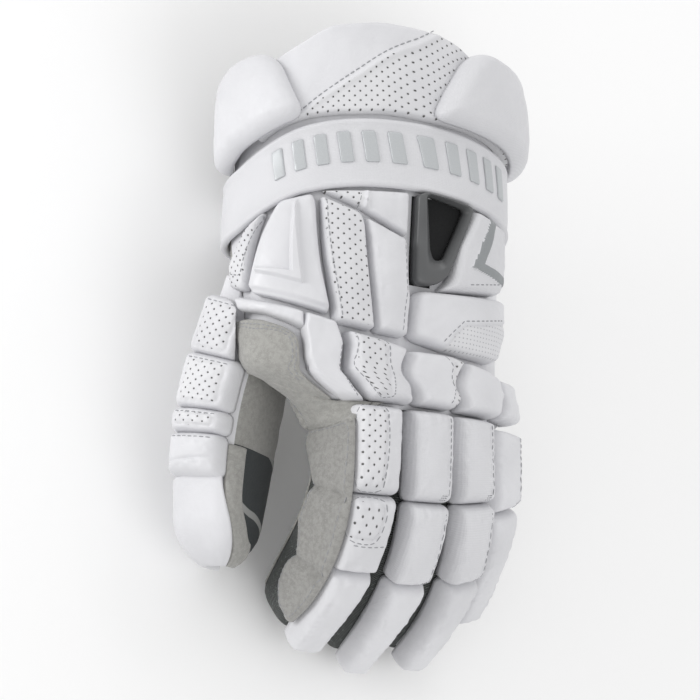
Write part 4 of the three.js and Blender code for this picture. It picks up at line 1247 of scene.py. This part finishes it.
class GLOVE_OT_saddle(bpy.types.Operator):
    """Builds the suede patch over the web of the thumb."""
    bl_idname = "glove.saddle"
    bl_label = "Saddle patch"

    def execute(self, context):
        pattern = hand_pattern(PATCH_CORNERS)
        pad = Pad(on_hand, pattern, base=BEND_CLEARANCE * 2.5, height=SUEDE_THICKNESS + 1.5, crown=0.6, edge=2.0,
                  gap=0.3, count=140, rows=22, power=2.2, seed=90, wobble=0.4, pucker=0.2)
        obj = pad.build("saddle_patch_cover", [look("suede")])
        finish_piece(obj, "suede", "saddle_patch")
        for inset in (3.0, 5.2):
            row = Pad(on_hand, pattern, radius=4, gap=inset).outline
            sew(pad.surface, row[:int(np.argmax(row[:, 1] < 8))])
        index = LIMBS["index"]
        edge = [index.side(0.96 * SLEEVE_DEPTH, 0.06 * index.length, 3), (-57.5, 3, 51), (-63, 11, 51),
                (-71, 17.5, 52.5),
                (-79, 19.5, 54.5), (-86, 15.5, 54)]
        columns = [(hand_point(turn, 1.0, 3.5), index.side(down * SLEEVE_DEPTH, 0.07 * index.length, 3))
                   for turn, down in ((128, -0.3), (140, 0), (150, 0.3), (160, 0.6))]
        columns += [(hand_point(turn, share * HAND_LENGTH, 4.0), point) for (turn, share), point in zip(
            ((170, 0.01), (178, 0.05), (186, 0.1), (192, 0.16), (198, 0.24), (202, 0.3)), edge)]
        web = strung(columns, (-2.5, -1.0, -0.5))
        web.scale = (8.0, 24.0)
        sheet = slab("crotch_suede", web, np.linspace(0, len(columns) - 1, 100), np.linspace(0, 1, 30), -0.8, 1.8, 0.8,
                     [look("suede")], wobble=0.4)
        finish_piece(sheet, "suede", fill=None)
        cut_sheet(sheet, "saddle_patch_cover", lambda u, v, h: web(v, u, h), (0, 1), (0, len(columns) - 1))
        roll = tube("crotch_binding", np.array(edge) + [-1.6, -0.8, 2.6], 2.5, [look("suede")])
        finish_piece(roll, "suede", fill=0.8)
        for inset in (0.8, 0.7):
            sew(lambda uv, above: web(uv[..., 0], uv[..., 1], above + 1.0),
                np.array([(k, inset) for k in np.linspace(4, 9, 40)]), spacing=0.34, length=0.22)
        return {"FINISHED"}


class GLOVE_OT_sleeves(bpy.types.Operator):
    """Builds the ribbed finger sleeves with their leather tops."""
    bl_idname = "glove.sleeves"
    bl_label = "Finger sleeves"

    def execute(self, context):
        for name, limb in LIMBS.items():
            rounding = SLEEVE_WIDTH * 0.42
            obj = hollow_sleeve(f"{name}_sleeve_cloth", limb, 2.0, rounding, [look("ribbed"), look("lining")])
            finish_piece(obj, "mesh_fabric", f"{name}_sleeve", fill=None)
            round_it = lambda u, v, h, limb=limb: limb.section(v, u, -h)
            cut_sheet(obj, "palm_panel_leather", round_it, (0, 360), (0, limb.length - rounding), rounding)
            ends = (STRIP_START, limb.length * STRIP_END)
            for part, finish, slot, middle, half, columns, thickness, edge, wobble in SLEEVE_STRIPS:
                place = lambda u, v, h, limb=limb, middle=middle: limb.section(v, middle + u, -h)
                strip = slab(f"{name}_{part}_leather", place, np.linspace(-half, half, columns), np.linspace(*ends, 60),
                             STRIP_LIFT, thickness, edge, [look(finish)], wobble=wobble)
                finish_piece(strip, slot, fill=None)
                cut_sheet(strip, obj.name, round_it, (middle - half, middle + half), ends)
        return {"FINISHED"}


class GLOVE_OT_hand_shell(bpy.types.Operator):
    """Builds the back and palm of the hand."""
    bl_idname = "glove.hand_shell"
    bl_label = "Hand shell"

    def execute(self, context):
        vent = hand_pattern(VENT_OUTER)

        # inside the vent the back skin is not cut open: its top takes the near-black lining, partly the real black
        # lining and partly painted shade for the depth of the opening
        def zone(uv, lower):
            pattern = np.stack([np.radians(uv[:, 0]) * ROUND_RADIUS, uv[:, 1]], -1)
            return lower | inside(pattern, vent)
        back = slab("hand_back_skin", hand_point, np.linspace(*BACK_TURNS, 109), np.linspace(0, BACK_LENGTH, 73),
                    -2.5, 2.5, 0.8, [look("white"), look("lining")], zone, wobble=0.0)
        finish_piece(back, "lining", "hand_back_liner", fill=None)
        cut_sheet(back, "palm_panel_leather", hand_point, BACK_TURNS, (0, BACK_LENGTH))
        seam = [hand_pattern([[230, 0.1], [222, 0.5], [225, 0.86]]),
                hand_pattern([[310, 0.05], [314, 0.5], [312, 0.86]]),
                hand_pattern([[270, 0.06], [268, 0.4], [262, 0.6]])]

        def seams(uv):
            pattern = np.stack([np.radians(uv[..., 0]) * ROUND_RADIUS, uv[..., 1]], -1)
            return sum(-0.5 * np.exp(-(distance_to(pattern, s) / 1.2) ** 2) for s in seam)
        palm = slab("palm_panel_leather", hand_point, np.linspace(*PALM_TURNS, 91), np.linspace(0, PALM_LENGTH, 67),
                    -2.5, 2.5, 1.0, [look("palm"), look("lining")], lambda uv, lower: lower, [seams], wobble=0.5)
        finish_piece(palm, "palm_leather", "palm_panel", fill=None)
        cut_sheet(palm, "hand_back_skin", hand_point, PALM_TURNS, (0, PALM_LENGTH))
        for path in seam:
            for side in (-2.2, 2.2):
                sew(lambda uv, above: hand_point(np.degrees(uv[..., 0] / ROUND_RADIUS), uv[..., 1], above + 0.1),
                    path + [side, 0])
        return {"FINISHED"}


class GLOVE_OT_thumb(bpy.types.Operator):
    """Builds the thumb: sleeve, pads, tip cap and band."""
    bl_idname = "glove.thumb"
    bl_label = "Thumb"

    def execute(self, context):
        obj = hollow_sleeve("thumb_sleeve_leather", THUMB, 2.0, THUMB_ROUND,
                            [look("suede"), look("lining"), look("grip"), look("white")], 96, 80, thumb_zone,
                            THUMB_SEAM)
        cut_by_hand(obj)
        finish_piece(obj, "thumb_leather", "thumb_sleeve", fill=None)
        round_it = lambda u, v, h: THUMB.section(v, u, -h)
        cut_sheet(obj, "hand_back_skin", round_it, (0, 360), (0, THUMB_LENGTH - THUMB_ROUND), THUMB_ROUND)
        wobble = chosen_size("wrinkle")
        place = lambda u, v, h: THUMB.back(u, v, h, 60)
        for i, (start, end, low, high) in enumerate(THUMB_PADS):
            a, b, w = start * THUMB_LENGTH, end * THUMB_LENGTH, THUMB_WIDTH / 2
            corners = [(low * w, a), (high * w, a), (high * w, b), (low * w, b)]
            field = rounded([(low * w + 4, a + 3), (high * w - 4, a + 3), (high * w - 4, b - 3),
                             (low * w + 4, b - 3)], 60, 2)
            zone = within(field) if i < 3 else None
            features = [groove(field, 1.3, 0.7, True)] if i < 3 else [groove([(low * w, b - 5), (high * w, b - 8)],
                                                                             1.2, 0.8)]
            pad = Pad(place, corners, base=SEAT + 0.3, height=THUMB_PAD_THICKNESS, crown=1.2, edge=4.4, gap=-0.4,
                      rows=24, seed=120 + i, wobble=wobble, features=features, pucker=0.4)
            obj = pad.build(f"thumb_pad_{i + 1}_cover", [look("white"), look("perforated")], zone)
            sew(pad.surface, [(low * w + 3, a + 2.6), (high * w - 3, a + 2.6)])
            if i == 0:
                cut_by_hand(obj, PANEL_THICKNESS + CLEARANCE)
            finish_piece(obj, "perforated_leather" if i < 3 else "white_leather", f"thumb_pad_{i + 1}")
        first, last = 0.735 * THUMB_LENGTH, THUMB_END

        def cap_place(u, v, h):
            inner = CAP_FIRST_TURN - CAP_SWING * ease((v - 0.1) / 0.8)
            start = first - 9 * (1 - u) ** 2 + 3 * u
            return THUMB.skin(inner + u * (CAP_LAST_TURN - inner), start + v * (last - start), h, THUMB_ROUND)

        def band_place(u, v, h):
            start = GRIP_START
            along = start + v * (last - start)
            inner = CAP_FIRST_TURN - CAP_SWING * ease(((along - first) / (last - first) - 0.1) / 0.8)
            return THUMB.skin(inner - 3 - u * 36, along, h, THUMB_ROUND)
        cap_place.scale, band_place.scale = (80.0, 36.0), (20.0, 58.0)
        cap = slab("thumb_cap_leather", cap_place, np.linspace(0, 1, 90), np.linspace(0, 1, 56), CLEARANCE, 3.2, 3,
                   [look("white")], wobble=0.3)
        finish_piece(cap, "white_leather", "thumb_cap")
        band = slab("thumb_band_suede", band_place, np.linspace(0, 1, 24), np.linspace(0, 1, 60), CLEARANCE,
                    SUEDE_THICKNESS, 2,
                    [look("suede")], wobble=0.3)
        finish_piece(band, "suede", "thumb_band")
        return {"FINISHED"}


class GLOVE_OT_cuff(bpy.types.Operator):
    """Builds the cuff panel and its two wings."""
    bl_idname = "glove.cuff"
    bl_label = "Cuff"

    def execute(self, context):
        def place(angle, share, h):
            low, high = np.moveaxis(blend_rows(CUFF_EDGE, angle), -1, 0)
            return hand_point(angle, (low + (high - low) * share) * HAND_LENGTH, h)
        place.scale = (1.05, 45.0)
        line = np.array([[145, 1.19], [137, 1.233], [129, 1.292], [121, 1.346], [110.5, 1.423], [100, 1.505],
                         [90.5, 1.569],
                         [80.5, 1.646], [76, 1.7]])
        low, high = np.moveaxis(blend_rows(CUFF_EDGE, line[:, 0]), -1, 0)
        fold = [(a, b) for a, b in zip(line[:, 0], (line[:, 1] - low) / (high - low))]

        def ridge(uv):
            d = distance_to(uv * place.scale, np.array(fold) * place.scale)
            return 1.1 * np.exp(-(d / 1.5) ** 2)
        edge = np.array(fold + [(24, 1.1), (24, -0.1), (145, -0.1)])
        zone = lambda uv, lower: inside(uv, edge) & ~lower
        panel = slab("cuff_panel_leather", place, np.linspace(24, 164, 160), np.linspace(0, 1, 60), CLEARANCE,
                     CUFF_PANEL_THICKNESS, 2.4, [look("white"), look("perforated")], zone, [ridge])
        finish_piece(panel, "white_leather", "cuff_panel")
        scale = np.array(place.scale)
        top = CLEARANCE + CUFF_PANEL_THICKNESS
        sew(lambda uv, above: place(uv[..., 0] / scale[0], uv[..., 1] / scale[1], top + above + 0.15),
            np.array(fold[:-1]) * scale + [1.2, 2.4])
        for name, (finish, corners) in WINGS.items():
            pattern = hand_pattern(corners)
            pad = Pad(on_wing, pattern, base=CLEARANCE + WING_LIFT, height=WING_THICKNESS, radius=10, edge=6.5,
                      gap=0.3, count=180, rows=30, power=2.1, seed=200 + len(name), pucker=0.1)
            obj = pad.build(name + "_cover", [look(finish)])
            finish_piece(obj, SLOTS[finish], name)
        return {"FINISHED"}


class GLOVE_OT_vent(bpy.types.Operator):
    """Builds the plastic vent frame."""
    bl_idname = "glove.vent"
    bl_label = "Vent frame"

    def execute(self, context):
        count = 96
        outer, inner = rounded(hand_pattern(VENT_OUTER), count, 3), rounded(hand_pattern(VENT_INNER), count, 2)
        top = CLEARANCE + FRAME_THICKNESS
        profile = [(0.03, CLEARANCE), (0.03, top - 1.2), (0.07, top - 0.4), (0.14, top), (0.45, top + 0.1),
                   (0.6, top - 0.2), (0.8, top - 2.2), (0.98, top - 3.2), (1.0, top - 4), (1.0, CLEARANCE)]
        rings, uvs = [], []
        for share, h in profile:
            at = outer + (inner - outer) * share
            rings.append(on_hand(at[:, 0], at[:, 1], h))
            uvs.append(at)
        points = np.concatenate(rings)
        faces = outward(points, rings_faces(len(rings), count, False, True))
        obj = to_mesh("vent_frame_moulding", points, faces, np.concatenate(uvs), [look("plastic")])
        finish_piece(obj, "grey_plastic", "vent_frame", fill=None)
        return {"FINISHED"}


class GLOVE_OT_index_panel(bpy.types.Operator):
    """Builds the scalloped suede panel beside the index finger."""
    bl_idname = "glove.index_panel"
    bl_label = "Index side panel"

    def execute(self, context):
        limb = LIMBS["index"]
        length = limb.length
        pattern = np.array([(d * SLEEVE_DEPTH * (1 - (0.22 * s if d > 0 else 0)), s * length) for d, s in INDEX_SIDE])
        channels = [groove(np.array([(0.86 * SLEEVE_DEPTH, 0.3 * length), (-0.34 * SLEEVE_DEPTH, 0.33 * length)]),
                           3.0, 2.4),
                    groove(np.array([(0.72 * SLEEVE_DEPTH, 0.63 * length), (-0.3 * SLEEVE_DEPTH, 0.57 * length)]),
                           3.0, 2.4)]
        pad = Pad(limb.side, pattern, height=SIDE_PANEL_THICKNESS, crown=1.0, edge=3.0, gap=0.0, count=200, rows=26,
                  power=2.0, seed=140, wobble=0.5, features=channels, pucker=0.3)
        obj = pad.build("index_side_suede", [look("side_suede")])
        finish_piece(obj, "suede", "index_side_panel")
        sew(pad.surface, Pad(limb.side, pattern, radius=4, gap=3.2, count=200).outline, closed=True)
        return {"FINISHED"}


class GLOVE_OT_strap(bpy.types.Operator):
    """Builds the wrist strap and its slanted bars."""
    bl_idname = "glove.strap"
    bl_label = "Wrist strap"

    def execute(self, context):
        count = 260
        w, t = STRAP_WIDTH / 2, STRAP_THICKNESS
        section = [(-w * 0.94, 0.0), (-w, 0.25), (-w * 1.0, 0.6), (-w * 0.96, 0.92), (-w * 0.9, 1.05), (-w * 0.84, 1.0),
                   (-w * 0.8, 0.9), (-w * 0.5, 0.97), (0, 1.0), (w * 0.5, 0.97), (w * 0.8, 0.9), (w * 0.84, 1.0),
                   (w * 0.9, 1.05), (w * 0.96, 0.92), (w, 0.6), (w, 0.25), (w * 0.94, 0.0), (0, 0.0)]
        angles = np.arange(count) / count * 360
        centre = blend_rows(STRAP_CENTRE, angles)[:, 0] * HAND_LENGTH
        rings = np.stack([hand_point(angles, centre + v, STRAP_LIFT + h * t) for v, h in section], 1)
        uvs = np.stack([np.stack([np.radians(angles) * STRAP_RADIUS, np.full(count, v)], -1) for v, _ in section], 1)
        points = rings.reshape(-1, 3)
        faces = outward(points, rings_faces(count, len(section), False, True))
        obj = to_mesh("wrist_strap_leather", points, faces, uvs.reshape(-1, 2), [look("textured")])
        finish_piece(obj, "textured_leather", "strap", fill=None)
        loop = arc_length(hand_point(np.append(angles, 360), np.append(centre, centre[0]), STRAP_LIFT + t / 2))

        def place(u, v, h):
            angle = np.degrees(np.asarray(u) / STRAP_RADIUS)
            return hand_point(angle, blend_rows(STRAP_CENTRE, angle)[..., 0] * HAND_LENGTH + v, STRAP_LIFT + t + h)
        bars = []
        for k, angle in enumerate(np.linspace(44, 150, 11)):
            u = math.radians(angle) * STRAP_RADIUS
            corners = [(u - 5.2, -5.0), (u + 2.2, -5.0), (u + 5.2, 10.0), (u - 2.2, 10.0)]
            pad = Pad(place, corners, base=0.02, height=0.8, crown=0.0, radius=0.8, edge=0.6, gap=0.0, count=48,
                      rows=4, power=2.2, wobble=0.0, pucker=0.0)
            bars.append(pad.build(f"strap_bar_{k + 1}", [look("silver")]))
        for bar in bars:
            finish_piece(bar, "silver_accent", fill=None)
        return {"FINISHED"}


class GLOVE_OT_stitching(bpy.types.Operator):
    """Builds all the stitches as one piece."""
    bl_idname = "glove.stitching"
    bl_label = "Stitching"

    def execute(self, context):
        obj = to_mesh("stitching", STITCHES["points"], STITCHES["faces"], None, [look("thread")])
        finish_piece(obj, "thread", fill=None)
        return {"FINISHED"}


class GLOVE_OT_stage(bpy.types.Operator):
    """Builds the floor, the lights and the camera."""
    bl_idname = "glove.stage"
    bl_label = "Stage"

    def execute(self, context):
        scene = context.scene
        mesh = bpy.data.meshes.new("floor")
        mesh.from_pydata([(x * FLOOR_HALF, y * FLOOR_HALF, 0) for x, y in ((-1, -1), (1, -1), (1, 1), (-1, 1))], [],
                         [(0, 1, 2, 3)])
        floor = bpy.data.objects.new("floor", mesh)
        scene.collection.objects.link(floor)
        material, tree, shader = start_material("pale_paper_floor")
        feed(tree, shader, Base_Color=linear("FCFCFC"), Roughness=0.9)
        mesh.materials.append(material)
        world = bpy.data.worlds.new("studio")
        world.use_nodes = True
        world.node_tree.nodes["Background"].inputs[0].default_value = (1, 1, 1, 1)
        world.node_tree.nodes["Background"].inputs[1].default_value = 0.74
        scene.world = world
        scene.view_settings.view_transform = "Standard"
        focus = Vector((SHIFT[0] * MM, (45 + SHIFT[1]) * MM, (SHIFT[2]) * MM))
        a, e = math.radians(VIEW_TURN), math.radians(VIEW_RISE)
        right = Vector((math.cos(a), 0, math.sin(a)))
        towards = Vector((-math.sin(a) * math.cos(e), -math.sin(e), math.cos(a) * math.cos(e)))
        up = towards.cross(right)
        target = focus + towards * 0.055
        data = bpy.data.cameras.new("camera")
        data.lens, data.sensor_width = LENS, SENSOR
        camera = bpy.data.objects.new("camera", data)
        scene.collection.objects.link(camera)
        width = PHOTO_PIXELS * PIXEL * MM
        distance = width * data.lens / data.sensor_width
        rotation = Matrix((right, up, towards)).transposed()
        camera.matrix_world = Matrix.Translation(target + towards * distance) @ rotation.to_4x4()
        scene.camera = camera

        def softbox(name, place, power, size):
            light = bpy.data.lights.new(name, "AREA")
            light.energy, light.size = power, size
            obj = bpy.data.objects.new(name, light)
            scene.collection.objects.link(obj)
            spot = focus + right * place[0] + up * place[1] + towards * place[2]
            obj.matrix_world = Matrix.Translation(spot) @ (spot - focus).to_track_quat("Z", "Y").to_matrix().to_4x4()
        softbox("key", (-0.85, 0.4, 0.75), 5.0, 0.45)
        softbox("fill", (0.7, -0.5, 0.9), 2.6, 0.9)
        softbox("rim", (0.5, 0.9, 0.2), 1.5, 0.5)
        return {"FINISHED"}


class GLOVE_PT_panel(bpy.types.Panel):
    """Lists the pieces of the glove."""
    bl_idname = "GLOVE_PT_panel"
    bl_label = "Lacrosse Glove"
    bl_space_type = "VIEW_3D"
    bl_region_type = "UI"
    bl_category = "Glove"

    def draw(self, context):
        for kind in PIECES:
            self.layout.operator(kind.bl_idname)
        self.layout.prop(context.scene.glove_sizes, "wrinkle")
        self.layout.prop(context.scene.glove_sizes, "stitch_spacing")


PIECES = (
    GLOVE_OT_hand_shell, GLOVE_OT_sleeves, GLOVE_OT_finger_pads, GLOVE_OT_hand_pads, GLOVE_OT_wrist_plate,
    GLOVE_OT_saddle,
    GLOVE_OT_thumb, GLOVE_OT_cuff, GLOVE_OT_vent, GLOVE_OT_index_panel, GLOVE_OT_strap, GLOVE_OT_stitching,
    GLOVE_OT_stage,
)


def register():
    for kind in (GloveSizes, *PIECES, GLOVE_PT_panel):
        bpy.utils.register_class(kind)
    bpy.types.Scene.glove_sizes = bpy.props.PointerProperty(type=GloveSizes)


def unregister():
    del bpy.types.Scene.glove_sizes
    for kind in (GLOVE_PT_panel, *reversed(PIECES), GloveSizes):
        bpy.utils.unregister_class(kind)


def main():
    register()
    for kind in PIECES:
        area, name = kind.bl_idname.split(".")
        getattr(getattr(bpy.ops, area), name)()


if __name__ == "__main__":
    main()
